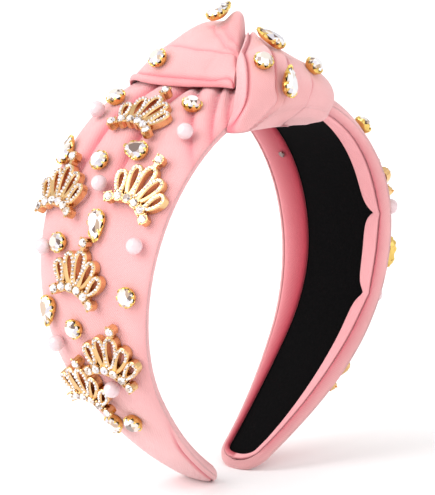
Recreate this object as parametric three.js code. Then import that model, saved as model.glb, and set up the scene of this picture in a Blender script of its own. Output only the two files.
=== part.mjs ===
// Padded knotted headband standing on its two ends, trimmed with crystals, pearls and small crowns.
// Millimetres, +Z up, the floor at Z = 0, the hoop in the XZ plane and its width along Y.
import * as THREE from 'three';

const { degToRad, clamp, lerp, smoothstep } = THREE.MathUtils;

// Hoop: an arc that goes over into a flatter curve down each leg
const ARCH_RADIUS = 62; // inner face of the padding
const ARCH_HEIGHT = 80.2; // centre of the arc above the floor
const LEG_ANGLE = degToRad(36.4); // how far below the centre each leg leaves the arc
const LEG_RADIUS = 150;
const ARC_LENGTH = (Math.PI / 2 + LEG_ANGLE) * ARCH_RADIUS; // from the top to the start of a leg
const HALF_LENGTH = 196.6; // from the top to an end

// Band section
const TIP_HALF_WIDTH = 9.4;
const TOP_HALF_WIDTH = 30.2;
const TAPER_LENGTH = 169; // from an end to where the band has its full width
const END_ROUND = 8.5; // length of the rounded end
const END_POWER = 2.3; // above 2 makes the end blunter than an ellipse
const TIP_DEPTH = 6.6; // thickness of the padding at the ends
const PAD_DEPTH = 7.8;
const PAD_TAPER = 48; // from an end to where the padding has its full thickness
const PUFF_DEPTH = 2.6; // extra padding under the pleats beside the knot
const PUFF_START = 75; // distance from the top at which the extra padding starts
const PUFF_FULL = 30;
const EDGE_DEPTH = 4; // widest point of the section, measured from the inner face
// The near edge of the right leg is fuller: by how much, and where along the band that starts, is whole,
// ends and is gone, and within which share of the half width it grows
const FULL_EDGE = { depth: 2.3, start: 45, whole: 85, end: 140, gone: 185, within: 0.7 };
const HEM_DEPTH = 0.9; // the cover curls in to this depth at its seam
const HEM_INSET = 2.3; // how far the seam lies in from the widest point
const HEM_SHARE = 0.6; // least share of the half width that is left at the seam round an end
const HEM_LIP = 0.2; // thickness of the cover where it turns from its seam to the inner face
const CURL_INSET_SHARE = 0.35; // where the edge bends on its way to the seam
const CURL_DEPTH_SHARE = 0.75;
const CROWN_POWER = 2.4; // roundness of the outer face across the band
const SHOULDER_POWER = 0.55; // how steeply it falls to the edges

// Layers of the inner face, as depths from the inside of the hoop
const GAP = 0.3;
const BINDING_FACE = 0.25;
const BINDING_BACK = 1.45;
const BINDING_PUFF = 0.4; // how far the middle of the binding stands up
const BINDING_LEAST = 1.5; // least width of the binding, at a gather
const BINDING_OVERHANG = 0.1; // how far it reaches past the edge of the lining
const LINING_FACE = 1.75;
const LINING_BACK = 2.45;
const PAD_FACE = 2.75;
const LINING_INSET = 2.9; // from the widest point of the band
const BINDING_END = 4.2; // width of the binding round an end

// Width of the lining that shows, as a share of the half width
const LINING_SHARE_NEAR = 0.64;
const LINING_SHARE_FAR = 0.42;
const STRIP_NARROW = 100; // distance from the top at which the far strip starts to narrow
const PINCH_FADE = 3.1; // distance along the band over which a gather fades
// Gathers where the lining shows almost to the edge: along the band, and by how much
const PINCHES = [
  { along: 84, reach: 5.5 },
  { along: 115.5, reach: 5 },
];

// Pleats beside the knot, on the left leg: each runs from the knot to where it fades,
// by its distance from the top and its place across the band, with its depth and half width
const PLEAT_FADE = 0.45; // share of its run at which a pleat starts to fade
const PLEATS = [
  { start: 17, startAcross: 12, end: 64, endAcross: 17, depth: 2.2, width: 2.8 },
  { start: 17, startAcross: -1.4, end: 62, endAcross: -3, depth: 3, width: 2.8 },
  { start: 16, startAcross: -6.5, end: 48, endAcross: -31, depth: 2.6, width: 2.3 },
  { start: 13, startAcross: -14.2, end: 46, endAcross: -36, depth: 2.6, width: 1.7 },
  { start: 11, startAcross: -18.2, end: 36, endAcross: -36, depth: 2.2, width: 1.5 },
];

// Knot: two wraps, each laid over the top and down past one edge of the band
const WRAP_CLEAR = 0.45; // between a wrap and the band
const WRAP_DEPTH = PAD_DEPTH + PUFF_DEPTH + WRAP_CLEAR; // flat underside of a wrap over the band
const WRAP_SKIN = 0.35; // least thickness at the rim of a wrap
// How far out each wrap reaches, the radius with which it turns down there, and the share of its height
// that is lost towards its hem
const WRAPS = {
  far: { side: 32.7, corner: 14, taper: 1 },
  near: { side: TOP_HALF_WIDTH + WRAP_CLEAR, corner: 8, taper: 0.7 },
};
// Rows down each wrap: distance from the top centre line, its inner edge, its hem, and its height
const WRAP_ROWS = {
  far: [
    { down: -23, edge: 14.2, hem: 15.4, height: 2.5 },
    { down: -18, edge: 7, hem: 15.6, height: 6.2 },
    { down: -12, edge: 0.5, hem: 16.8, height: 10.6 },
    { down: -4, edge: -7.6, hem: 18.6, height: 15.2 },
    { down: 4, edge: -7.5, hem: 19.6, height: 17.1 },
    { down: 12, edge: -8, hem: 20, height: 16.2 },
    { down: 18, edge: -9.5, hem: 19.6, height: 12.6 },
    { down: 23, edge: -13, hem: 18.4, height: 8.6 },
    { down: 28, edge: -15, hem: 16.4, height: 5.6 },
    { down: 32, edge: -16, hem: 14.2, height: 5.2 },
    { down: 36, edge: -16, hem: 12.2, height: 5.6 },
    { down: 41, edge: -12, hem: 9, height: 5.6 },
    { down: 44, edge: -2, hem: 4, height: 2.6 },
  ],
  near: [
    { down: -23, edge: 13, hem: 16.5, height: 2 },
    { down: -18, edge: 9.5, hem: 18, height: 4.6 },
    { down: -12, edge: 8, hem: 20, height: 8.2 },
    { down: -4, edge: 7.5, hem: 21.8, height: 11.8 },
    { down: 4, edge: 7.6, hem: 23.2, height: 12.9 },
    { down: 12, edge: -0.5, hem: 24.2, height: 12.5 },
    { down: 18, edge: -7, hem: 24.8, height: 11 },
    { down: 23, edge: -13.8, hem: 25.6, height: 9.2 },
    { down: 28, edge: -20.5, hem: 26.6, height: 7.4 },
    { down: 31, edge: -24, hem: 26.8, height: 6.4 },
    { down: 33.5, edge: -28.5, hem: 26.6, height: 5.6 },
    { down: 36, edge: -29.5, hem: 26, height: 5 },
    { down: 41, edge: -18, hem: 23.5, height: 3.6 },
    { down: 44, edge: -2, hem: 14, height: 2.6 },
  ],
};
const WRAP_TAPER_POWER = 1.7;
const WRAP_EDGE_POWER = 14; // how tightly both edges of a wrap are rounded
// Folds down each wrap: which side stands up, by how much, and the line of each,
// by distance down the wrap and share of its width
const FOLD_ROUND = 1.6; // radius of the raised edge of a fold
const FOLD_FADE = 9; // distance over which it sinks away from its line
const FOLD_END = 5; // distance over which it starts and ends
const FOLDS = {
  far: [
    { raised: 1, height: 1.5, down: [-22, -17, -10, 30], share: [0.6, 0.87, 0.93, 0.93] },
    { raised: 1, height: 1.2, down: [-16, -11, -3, 5, 15], share: [0.15, 0.45, 0.61, 0.62, 0.6] },
    { raised: -1, height: 1, down: [-15, -12, -9, -2, 2], share: [0.12, 0.27, 0.37, 0.38, 0.29] },
    { raised: -1, height: 1, down: [-13, -9, -6, -3], share: [0.06, 0.23, 0.3, 0.3] },
    { raised: -1, height: 1.6, down: [24, 30, 36, 41], share: [0.34, 0.33, 0.36, 0.45] },
    { raised: -1, height: 1.4, down: [26, 32, 37, 42], share: [0.62, 0.6, 0.58, 0.55] },
  ],
  near: [
    { raised: -1, height: 1.6, down: [8, 13, 25, 28, 31, 34], share: [0.1, 0.13, 0.12, 0.05, 0.03, 0] },
    { raised: -1, height: 2.2, down: [12, 18, 23, 31, 34, 37], share: [0.2, 0.28, 0.35, 0.29, 0.31, 0] },
    { raised: -1, height: 2, down: [14, 24, 28, 34, 36, 38], share: [0.5, 0.49, 0.46, 0.42, 0.35, 0] },
    { raised: -1, height: 1.8, down: [33, 37, 39, 41, 43], share: [0.69, 0.66, 0.57, 0.43, 0.1] },
  ],
};
// The loop of cloth that stands up beside the inner edge of the far wrap
const NUB = { along: -5.2, down: -5, height: 5.8, length: 5, width: 5.5, power: 1.5 };

// Trim sizes; seat is the reach of the foot that has to clear the cloth, foot its share of the outline
const CRYSTAL = { radius: 3.5, table: 2, girdle: 2.7, height: 4.3 };
const CRYSTAL_MESH = { foot: 0.8, sides: 10, seat: 2.8 };
const DROP = { radius: 3.6, point: 7.2, sharpness: 3, table: 0.55, girdle: 2.5, height: 3.8 };
const DROP_MESH = { foot: 0.85, sides: 12, seat: 5.4 };
const PEARL = { radius: 3, sides: 10, rings: 6, seat: 1.8 };
const STUD = { radius: 1.3, height: 0.9, shoulder: 0.54, shoulderShare: 0.9, topShare: 0.5, sides: 10 };
// Crown: thickness, middle of its height above the base row, and reach of its seat
const CROWN = { thick: 2.8, middle: 6.6, seat: 10.5 };
// Base row: radius of its curve, lean of its ends and of the last loops' feet in degrees, half its width
const CROWN_BASE = { radius: 14.3, reach: 45, notch: 32, stone: 1.7, steps: 5 };
const CROWN_TIP = { half: 1.5, foot: 14.2, top: 18.8 };
const CROWN_RIM = 0.75; // half the width of a loop's band
const CROWN_HEAD = 60; // turn in degrees of the points on either side of a loop's top
// Opening of a loop: share of the way up it and of its half width
const CROWN_OPENING = [
  { way: 0.5, spread: 0.7 },
  { way: 0.8, spread: 1 },
];
const CROWN_OPENING_FOOT = 0.12; // share of a loop's length that stays closed at its foot
// Middle lines of the loops of a crown: foot, top and half width
const CROWN_LOOPS = [
  { footX: -6.8, footY: 0, topX: -10.5, topY: 7, half: 1.75 },
  { footX: -2.6, footY: 1, topX: -6, topY: 11.2, half: 2 },
  { footX: 0, footY: 1.5, topX: 0, topY: 13.6, half: 2.4 },
  { footX: 2.6, footY: 1, topX: 6, topY: 11.2, half: 2 },
  { footX: 6.8, footY: 0, topX: 10.5, topY: 7, half: 1.75 },
];

// Trim on the legs: distance from the top along the band, place across it, and turn in degrees from upright
// The right leg is the left one after half a turn, so its rows are written as for the left leg.
const LEG_TRIM = [
  { name: 'crown_1', kind: 'crown', along: -34.6, across: -1.4, turn: -2 },
  { name: 'crown_2', kind: 'crown', along: -59.5, across: -17.5, turn: -14.2 },
  { name: 'crown_3', kind: 'crown', along: -63.6, across: 18.4, turn: 0.1 },
  { name: 'crown_4', kind: 'crown', along: -89, across: 1.9, turn: -8.4 },
  { name: 'crown_5', kind: 'crown', along: -114.2, across: -11, turn: -12.3 },
  { name: 'crown_6', kind: 'crown', along: -127.8, across: 7.4, turn: -5.5 },
  { name: 'crystal_1', kind: 'crystal', along: -28.5, across: -14.6, turn: 0 },
  { name: 'crystal_2', kind: 'crystal', along: -29.8, across: 19.4, turn: 0 },
  { name: 'crystal_3', kind: 'crystal', along: -54.4, across: 6.1, turn: 0 },
  { name: 'crystal_4', kind: 'crystal', along: -81.9, across: 14.2, turn: 0 },
  { name: 'crystal_5', kind: 'crystal', along: -94.4, across: -20.1, turn: 0 },
  { name: 'crystal_6', kind: 'crystal', along: -108, across: 5.3, turn: 0 },
  { name: 'crystal_7', kind: 'crystal', along: -143.6, across: -6.6, turn: 0 },
  { name: 'drop_1', kind: 'drop', along: -49.1, across: -9.3, turn: 80 },
  { name: 'drop_2', kind: 'drop', along: -73, across: -2, turn: 194 },
  { name: 'drop_3', kind: 'drop', along: -102.7, across: 18.3, turn: 170 },
  { name: 'drop_4', kind: 'drop', along: -53.5, across: 25.4, turn: 10 },
  { name: 'drop_5', kind: 'drop', along: -146.5, across: 4.8, turn: 150 },
  { name: 'pearl_1', kind: 'pearl', along: -39.8, across: -22.1, turn: 0 },
  { name: 'pearl_2', kind: 'pearl', along: -61.8, across: 0.7, turn: 0 },
  { name: 'pearl_3', kind: 'pearl', along: -78.3, across: -21.8, turn: 0 },
  { name: 'pearl_4', kind: 'pearl', along: -36.9, across: 21.1, turn: 0 },
  { name: 'pearl_5', kind: 'pearl', along: -83.9, across: 20.4, turn: 0 },
  { name: 'pearl_6', kind: 'pearl', along: -114.1, across: 15, turn: 0 },
  { name: 'pearl_7', kind: 'pearl', along: -126.7, across: -7.5, turn: 0 },
  { name: 'right_crystal_1', kind: 'crystal', along: -50.6, across: 24.6, turn: 0, right: true },
  { name: 'right_crown_1', kind: 'crown', along: -70, across: 15.7, turn: 8, right: true },
  { name: 'right_pearl_1', kind: 'pearl', along: -85, across: 23.2, turn: 0, right: true },
  { name: 'right_drop_1', kind: 'drop', along: -98.6, across: 22.6, turn: 180, right: true },
  { name: 'right_pearl_2', kind: 'pearl', along: -115.3, across: 17.5, turn: 0, right: true },
  { name: 'right_crown_2', kind: 'crown', along: -139, across: 5.6, turn: 12, right: true },
  { name: 'right_crown_3', kind: 'crown', along: -40, across: -2, turn: -6, right: true },
  { name: 'right_crystal_2', kind: 'crystal', along: -62, across: -16, turn: 0, right: true },
  { name: 'right_crown_4', kind: 'crown', along: -90, across: -7, turn: -8, right: true },
  { name: 'right_drop_2', kind: 'drop', along: -114, across: 2, turn: 20, right: true },
  { name: 'right_crystal_3', kind: 'crystal', along: -122, across: -13, turn: 0, right: true },
  { name: 'right_pearl_3', kind: 'pearl', along: -152, across: -6, turn: 0, right: true },
];
// Trim on the knot: which wrap, distance down it, share of its width, and turn in degrees from upright
const KNOT_TRIM = [
  { name: 'knot_crystal_1', kind: 'crystal', wrap: 'far', down: 11.8, share: 0.8, turn: 0 },
  { name: 'knot_crystal_2', kind: 'crystal', wrap: 'near', down: 26.7, share: 0.21, turn: 0 },
  { name: 'knot_crystal_3', kind: 'crystal', wrap: 'near', down: 27, share: 0.72, turn: 0 },
  { name: 'knot_drop_1', kind: 'drop', wrap: 'near', down: 31.7, share: 0.38, turn: 0 },
  { name: 'knot_drop_2', kind: 'drop', wrap: 'near', down: 22.1, share: 0.38, turn: 70 },
  { name: 'knot_drop_3', kind: 'drop', wrap: 'far', down: 0.2, share: 0.265, turn: 90 },
];
const STUD_PLACE = { along: 63, share: 0.2 };

// Mesh fineness
const STATION_STEP = 10;
const BINDING_STEP = 8;
const END_STATIONS = 5;
const END_FLAT = 0.6; // share of a step that is left flat at the very end
const COVER_OUTER = 23;
const COVER_INNER = 4;
const WRAP_STATIONS = 22;
const WRAP_OUTER = 17;
const WRAP_INNER = 5;
const SEAT_SAMPLES = 6;

const COLOURS = {
  cover: { color: 0xf6b4ba, roughness: 0.85, metalness: 0 },
  binding: { color: 0xef9fa9, roughness: 0.9, metalness: 0 },
  lining: { color: 0x0b0a0b, roughness: 1, metalness: 0 },
  crystal: { color: 0xe8d9b0, roughness: 0.15, metalness: 0.4 },
  crown: { color: 0xd9a441, roughness: 0.3, metalness: 0.9 },
  pearl: { color: 0xfbeff0, roughness: 0.25, metalness: 0 },
  metal: { color: 0xb98a8a, roughness: 0.35, metalness: 0.8 },
};

// Point of the inner face, with its outward normal, at a distance along the hoop from the top
function archAt(along) {
  const side = Math.sign(along);
  const onArc = Math.min(Math.abs(along), ARC_LENGTH);
  const onLeg = Math.abs(along) - onArc;
  const arcAngle = Math.PI / 2 - onArc / ARCH_RADIUS;
  const angle = arcAngle - onLeg / LEG_RADIUS;
  const cos = Math.cos(angle);
  const sin = Math.sin(angle);
  const x = ARCH_RADIUS * Math.cos(arcAngle) + LEG_RADIUS * (cos - Math.cos(arcAngle));
  const z = ARCH_HEIGHT + ARCH_RADIUS * Math.sin(arcAngle) + LEG_RADIUS * (sin - Math.sin(arcAngle));
  return { x: side * x, z, nx: side * cos, nz: sin };
}

function bandPoint(along, across, depth) {
  const arch = archAt(along);
  return new THREE.Vector3(arch.x + arch.nx * depth, across, arch.z + arch.nz * depth);
}

function endShare(fromEnd) {
  const rest = clamp(1 - fromEnd / END_ROUND, 0, 1);
  return (1 - rest ** END_POWER) ** (1 / END_POWER);
}

function taperedHalfWidth(along) {
  const rise = Math.sin((Math.PI / 2) * clamp((HALF_LENGTH - Math.abs(along)) / TAPER_LENGTH, 0, 1));
  return TIP_HALF_WIDTH + (TOP_HALF_WIDTH - TIP_HALF_WIDTH) * rise;
}

function halfWidth(along) {
  return taperedHalfWidth(along) * endShare(HALF_LENGTH - Math.abs(along));
}

function padDepth(along) {
  const fromEnd = HALF_LENGTH - Math.abs(along);
  const puff = PUFF_DEPTH * (1 - smoothstep(Math.abs(along), PUFF_FULL, PUFF_START));
  return lerp(TIP_DEPTH, PAD_DEPTH, clamp(fromEnd / PAD_TAPER, 0, 1)) + puff;
}

// How far the pleats press into the cover
function pleatDepth(along, across) {
  const place = along > 0 ? -across : across;
  let depth = 0;
  for (const pleat of PLEATS) {
    const way = (Math.abs(along) - pleat.start) / (pleat.end - pleat.start);
    const fade = 1 - smoothstep(way, PLEAT_FADE, 1);
    const offset = (place - lerp(pleat.startAcross, pleat.endAcross, way)) / pleat.width;
    depth += pleat.depth * fade * Math.exp(-offset * offset);
  }
  return depth;
}

// Depth of the widest point of the section
function edgeDepth(along, across) {
  const grow = smoothstep(along, FULL_EDGE.start, FULL_EDGE.whole);
  const fade = 1 - smoothstep(along, FULL_EDGE.end, FULL_EDGE.gone);
  const near = smoothstep(-across, 0, FULL_EDGE.within * halfWidth(along));
  return EDGE_DEPTH + FULL_EDGE.depth * grow * fade * near;
}

// Depth of the outer face of the cover
function coverDepth(along, across) {
  const share = clamp(Math.abs(across) / halfWidth(along), 0, 1);
  const crown = (1 - share ** CROWN_POWER) ** SHOULDER_POWER;
  const edge = edgeDepth(along, across);
  const rise = (padDepth(along) - edge) * endShare(HALF_LENGTH - Math.abs(along)) * crown;
  return edge + rise - pleatDepth(along, across) * crown;
}

function coverPoint(along, across) {
  return bandPoint(along, across, coverDepth(along, across));
}

// Distances along the hoop for its sections, closer together round each end
function stations(inset) {
  const straight = HALF_LENGTH - END_ROUND;
  const count = Math.round((2 * straight) / STATION_STEP);
  const list = [];
  for (let i = 0; i <= count; i++) list.push(lerp(-straight, straight, i / count));
  for (let i = 1; i <= END_STATIONS; i++) {
    const turn = (Math.PI / 2) * (1 - i / (END_STATIONS + END_FLAT));
    const along = straight + (END_ROUND - inset) * Math.cos(turn) ** (2 / END_POWER);
    list.unshift(-along);
    list.push(along);
  }
  return list;
}

// Closed body through rings of points that all have the same count, clockwise about the way ahead
function loft(rings, looped = false) {
  const size = rings[0].length;
  const points = rings.flat();
  const faces = [];
  const spans = looped ? rings.length : rings.length - 1;
  for (let i = 0; i < spans; i++) {
    const here = i * size;
    const next = ((i + 1) % rings.length) * size;
    for (let j = 0; j < size; j++) {
      const k = (j + 1) % size;
      faces.push(here + j, next + k, here + k, here + j, next + j, next + k);
    }
  }
  if (!looped) {
    const last = points.length - size;
    const start = points.push(centreOf(rings[0])) - 1;
    const end = points.push(centreOf(rings[rings.length - 1])) - 1;
    for (let j = 0; j < size; j++) {
      const k = (j + 1) % size;
      faces.push(start, j, k, end, last + k, last + j);
    }
  }
  const geometry = new THREE.BufferGeometry().setFromPoints(points);
  geometry.setIndex(faces);
  geometry.computeVertexNormals();
  return geometry;
}

function centreOf(ring) {
  const sum = new THREE.Vector3();
  for (const point of ring) sum.add(point);
  return sum.divideScalar(ring.length);
}

function named(name, geometry, colour) {
  const mesh = new THREE.Mesh(geometry, new THREE.MeshStandardMaterial(COLOURS[colour]));
  mesh.name = name;
  return mesh;
}

// Padded hoop with the cover curled in to its seam, flattened where it rests
function bandCover() {
  const rings = stations(0).map((along) => {
    const width = halfWidth(along);
    const end = endShare(HALF_LENGTH - Math.abs(along));
    const seamWidth = Math.max(width - HEM_INSET, width * HEM_SHARE);
    const seamDepth = lerp(EDGE_DEPTH, HEM_DEPTH, end);
    const faceDepth = lerp(EDGE_DEPTH, PAD_FACE, end);
    const ring = [];
    for (let i = 0; i < COVER_OUTER; i++) {
      const across = -width * Math.cos((Math.PI * i) / (COVER_OUTER - 1));
      ring.push(coverPoint(along, across));
    }
    const curl = lerp(width, seamWidth, CURL_INSET_SHARE);
    const curlDepth = lerp(EDGE_DEPTH, seamDepth, CURL_DEPTH_SHARE);
    const nearCurlDepth = lerp(edgeDepth(along, -width), seamDepth, CURL_DEPTH_SHARE);
    ring.push(bandPoint(along, curl, curlDepth));
    ring.push(bandPoint(along, seamWidth, seamDepth));
    for (let i = 0; i < COVER_INNER; i++) {
      const across = lerp(seamWidth - HEM_LIP, HEM_LIP - seamWidth, i / (COVER_INNER - 1));
      ring.push(bandPoint(along, across, faceDepth));
    }
    ring.push(bandPoint(along, -seamWidth, seamDepth));
    ring.push(bandPoint(along, -curl, nearCurlDepth));
    for (const point of ring) point.z = Math.max(point.z, 0);
    return ring;
  });
  return named('band_cover', loft(rings), 'cover');
}

// Half width of the lining on the inner face, rounded at the ends like the band
function liningHalfWidth(along) {
  const fromEnd = HALF_LENGTH - LINING_INSET - Math.abs(along);
  const rounding = END_ROUND / (END_ROUND - LINING_INSET);
  return (taperedHalfWidth(along) - LINING_INSET) * endShare(fromEnd * rounding);
}

function lining() {
  const rings = stations(LINING_INSET).map((along) => {
    const width = liningHalfWidth(along);
    return [
      bandPoint(along, -width, LINING_BACK),
      bandPoint(along, width, LINING_BACK),
      bandPoint(along, width, LINING_FACE),
      bandPoint(along, -width, LINING_FACE),
    ];
  });
  return named('lining', loft(rings), 'lining');
}

// Edge of the lining that shows: beside a wide strip on the far side, gathered at each pinch on the near one
function shownLining(along, side) {
  const width = taperedHalfWidth(along);
  const limit = width - LINING_INSET - BINDING_LEAST;
  if (side > 0) {
    const narrow = smoothstep(Math.abs(along), STRIP_NARROW, HALF_LENGTH);
    return lerp(width * LINING_SHARE_FAR, limit, narrow);
  }
  let edge = width * LINING_SHARE_NEAR;
  for (const pinch of PINCHES) {
    edge += pinch.reach * Math.exp(-Math.abs(along - pinch.along) / PINCH_FADE);
  }
  return Math.min(edge, limit);
}

// Section of the binding between its outer edge and the lining that shows
function bindingRing(outerAlong, outerAcross, innerAlong, innerAcross) {
  const section = [
    { share: 0, depth: BINDING_BACK },
    { share: 1, depth: BINDING_BACK },
    { share: 1, depth: BINDING_FACE + BINDING_PUFF },
    { share: 0.5, depth: BINDING_FACE },
    { share: 0, depth: BINDING_FACE + BINDING_PUFF },
  ];
  return section.map(({ share, depth }) =>
    bandPoint(lerp(outerAlong, innerAlong, share), lerp(outerAcross, innerAcross, share), depth),
  );
}

// Strip round both edges and both ends of the inner face
function binding() {
  const straight = HALF_LENGTH - END_ROUND;
  const reach = END_ROUND - LINING_INSET + BINDING_OVERHANG;
  const count = Math.round((2 * straight) / BINDING_STEP);
  const rings = [];
  for (const side of [-1, 1]) {
    for (let i = 0; i <= count; i++) {
      const along = lerp(-straight, straight, i / count) * -side;
      const width = taperedHalfWidth(along) - LINING_INSET + BINDING_OVERHANG;
      rings.push(bindingRing(along, side * width, along, side * shownLining(along, side)));
    }
    for (let i = 1; i < END_STATIONS; i++) {
      const turn = (Math.PI * i) / END_STATIONS;
      const cos = Math.cos(turn);
      const across = Math.sign(cos) * Math.abs(cos) ** (2 / END_POWER) * side;
      const out = Math.sin(turn) ** (2 / END_POWER);
      const outer = (straight + reach * out) * -side;
      const inner = (straight + (reach - BINDING_END) * out) * -side;
      const width = taperedHalfWidth(outer) - LINING_INSET + BINDING_OVERHANG;
      const shown = shownLining(inner, Math.sign(across));
      rings.push(bindingRing(outer, width * across, inner, shown * across));
    }
  }
  return named('binding', loft(rings, true), 'binding');
}

// Smooth value of a column of a wrap's rows at a distance down it
function wrapRow(wrap, column, down) {
  const rows = WRAP_ROWS[wrap];
  const last = rows.length - 1;
  const at = rows.findIndex((row, i) => i === last - 1 || down < rows[i + 1].down);
  const here = rows[at];
  const next = rows[at + 1];
  const slope = (i) => {
    const before = rows[Math.max(i - 1, 0)];
    const after = rows[Math.min(i + 1, last)];
    return (after[column] - before[column]) / (after.down - before.down);
  };
  const span = next.down - here.down;
  const t = clamp((down - here.down) / span, 0, 1);
  const startPull = here[column] + (slope(at) * span) / 3;
  const endPull = next[column] - (slope(at + 1) * span) / 3;
  const u = 1 - t;
  const start = u ** 3 * here[column] + 3 * u * u * t * startPull;
  return start + 3 * u * t * t * endPull + t ** 3 * next[column];
}

// Share of the width at which a fold runs, by straight steps along its line
function foldShare(fold, down) {
  for (let i = 1; i < fold.down.length; i++) {
    const from = fold.down[i - 1];
    const to = fold.down[i];
    const way = clamp((down - from) / (to - from), 0, 1);
    if (down <= to) return lerp(fold.share[i - 1], fold.share[i], way);
  }
  return fold.share.at(-1);
}

// Height that the folds add: each stands up along one side of its line and fades away from it
function foldHeight(wrap, down, share, width) {
  let height = 0;
  for (const fold of FOLDS[wrap]) {
    const first = fold.down[0];
    const end = fold.down.at(-1);
    const fade = smoothstep(down, first - FOLD_END, first) * (1 - smoothstep(down, end, end + FOLD_END));
    const away = (share - foldShare(fold, down)) * width * fold.raised;
    if (away <= 0) continue;
    const round = Math.sqrt(1 - (1 - Math.min(away / FOLD_ROUND, 1)) ** 2);
    height += fold.height * fade * round * Math.exp(-away / FOLD_FADE);
  }
  return height;
}

// Height of a wrap over its flat underside
function wrapHeight(wrap, down, share) {
  const edge = wrapRow(wrap, 'edge', down);
  const width = wrapRow(wrap, 'hem', down) - edge;
  const round = Math.sqrt(1 - Math.abs(2 * share - 1) ** WRAP_EDGE_POWER);
  let height = wrapRow(wrap, 'height', down) * (1 - WRAPS[wrap].taper * share ** WRAP_TAPER_POWER);
  height += foldHeight(wrap, down, share, width);
  if (wrap === 'far') {
    const along = (edge + width * share - NUB.along) / NUB.length;
    const away = (down - NUB.down) / NUB.width;
    height += NUB.height * Math.exp(-((along * along + away * away) ** NUB.power));
  }
  return WRAP_SKIN + height * round;
}

// Point of a wrap at a height over its underside; the far wrap is turned half round
function wrapPoint(wrap, down, share, height) {
  const { side, corner } = WRAPS[wrap];
  const flat = side - corner;
  const along = lerp(wrapRow(wrap, 'edge', down) + GAP, wrapRow(wrap, 'hem', down), share);
  const turn = clamp((down - flat) / corner, 0, Math.PI / 2);
  const drop = Math.max(down - flat - corner * (Math.PI / 2), 0);
  const across = Math.min(down, flat) + (corner + height) * Math.sin(turn);
  const depth = WRAP_DEPTH - corner + (corner + height) * Math.cos(turn) - drop;
  const point = bandPoint(along, -across, depth);
  return wrap === 'far' ? new THREE.Vector3(-point.x, -point.y, point.z) : point;
}

function wrapSurface(wrap, down, share) {
  return wrapPoint(wrap, down, share, wrapHeight(wrap, down, share));
}

function knotWrap(wrap) {
  const first = WRAP_ROWS[wrap][0].down;
  const last = WRAP_ROWS[wrap].at(-1).down;
  const rings = [];
  for (let i = 0; i <= WRAP_STATIONS; i++) {
    const down = lerp(first, last, i / WRAP_STATIONS);
    const ring = [];
    for (let j = 0; j <= WRAP_OUTER; j++) {
      const share = (1 - Math.cos((Math.PI * j) / WRAP_OUTER)) / 2;
      ring.push(wrapSurface(wrap, down, share));
    }
    for (let j = WRAP_INNER; j >= 0; j--) ring.push(wrapPoint(wrap, down, j / WRAP_INNER, 0));
    rings.push(ring);
  }
  return named(`knot_${wrap}`, loft(rings), 'cover');
}

// Sets a piece on a surface: its foot clears every point of the surface under it
function seat(mesh, surface, reach, turn) {
  const origin = surface(0, 0);
  const ahead = surface(reach, 0).sub(surface(-reach, 0)).normalize();
  const aside = surface(0, reach).sub(surface(0, -reach)).normalize();
  const normal = new THREE.Vector3().crossVectors(ahead, aside).normalize();
  const angle = degToRad(turn);
  const left = new THREE.Vector3().crossVectors(normal, ahead).normalize();
  const up = ahead.clone().multiplyScalar(Math.cos(angle)).addScaledVector(left, Math.sin(angle));
  const right = new THREE.Vector3().crossVectors(up, normal);
  const step = reach / SEAT_SAMPLES;
  let lift = 0;
  for (let i = -SEAT_SAMPLES; i <= SEAT_SAMPLES; i++) {
    for (let j = -SEAT_SAMPLES; j <= SEAT_SAMPLES; j++) {
      if (Math.hypot(i, j) > SEAT_SAMPLES) continue;
      lift = Math.max(lift, surface(step * i, step * j).sub(origin).dot(normal));
    }
  }
  origin.addScaledVector(normal, lift + GAP);
  mesh.geometry.applyMatrix4(new THREE.Matrix4().makeBasis(right, up, normal).setPosition(origin));
  return mesh;
}

// Rings of an outline at several sizes and heights, closed into a stone in its cup
function stoneGeometry(outline, layers) {
  const rings = layers.map(({ scale, height }) =>
    outline.map(({ x, y }) => new THREE.Vector3(x * scale, y * scale, height)),
  );
  return loft(rings);
}

function roundOutline(radius, sides) {
  const outline = [];
  for (let i = 0; i < sides; i++) {
    const angle = (-2 * Math.PI * i) / sides;
    outline.push({ x: radius * Math.cos(angle), y: radius * Math.sin(angle) });
  }
  return outline;
}

function crystal(name) {
  const layers = [
    { scale: CRYSTAL_MESH.foot, height: 0 },
    { scale: 1, height: CRYSTAL.girdle },
    { scale: CRYSTAL.table / CRYSTAL.radius, height: CRYSTAL.height },
  ];
  return named(name, stoneGeometry(roundOutline(CRYSTAL.radius, CRYSTAL_MESH.sides), layers), 'crystal');
}

// Outline of a drop: round below, drawn out to a point above
function dropOutline() {
  const outline = [];
  for (let i = 0; i < DROP_MESH.sides; i++) {
    const angle = (-2 * Math.PI * (i + 0.5)) / DROP_MESH.sides;
    const sharpen = Math.max(Math.sin(angle), 0) ** DROP.sharpness;
    const y = lerp(DROP.radius * Math.sin(angle), DROP.point, sharpen);
    outline.push({ x: DROP.radius * Math.cos(angle), y });
  }
  return outline;
}

function drop(name) {
  const layers = [
    { scale: DROP_MESH.foot, height: 0 },
    { scale: 1, height: DROP.girdle },
    { scale: DROP.table, height: DROP.height },
  ];
  return named(name, stoneGeometry(dropOutline(), layers), 'crystal');
}

function pearl(name) {
  const geometry = new THREE.SphereGeometry(PEARL.radius, PEARL.sides, PEARL.rings);
  geometry.rotateX(Math.PI / 2);
  geometry.translate(0, 0, PEARL.radius);
  return named(name, geometry, 'pearl');
}

// Point on the curve of a crown's base row, moved up or down by an offset
function basePoint(lean, offset) {
  const angle = degToRad(lean);
  const reach = CROWN_BASE.radius + offset;
  const up = reach * Math.cos(angle) - CROWN_BASE.radius - CROWN.middle;
  return new THREE.Vector2(reach * Math.sin(angle), up);
}

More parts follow.
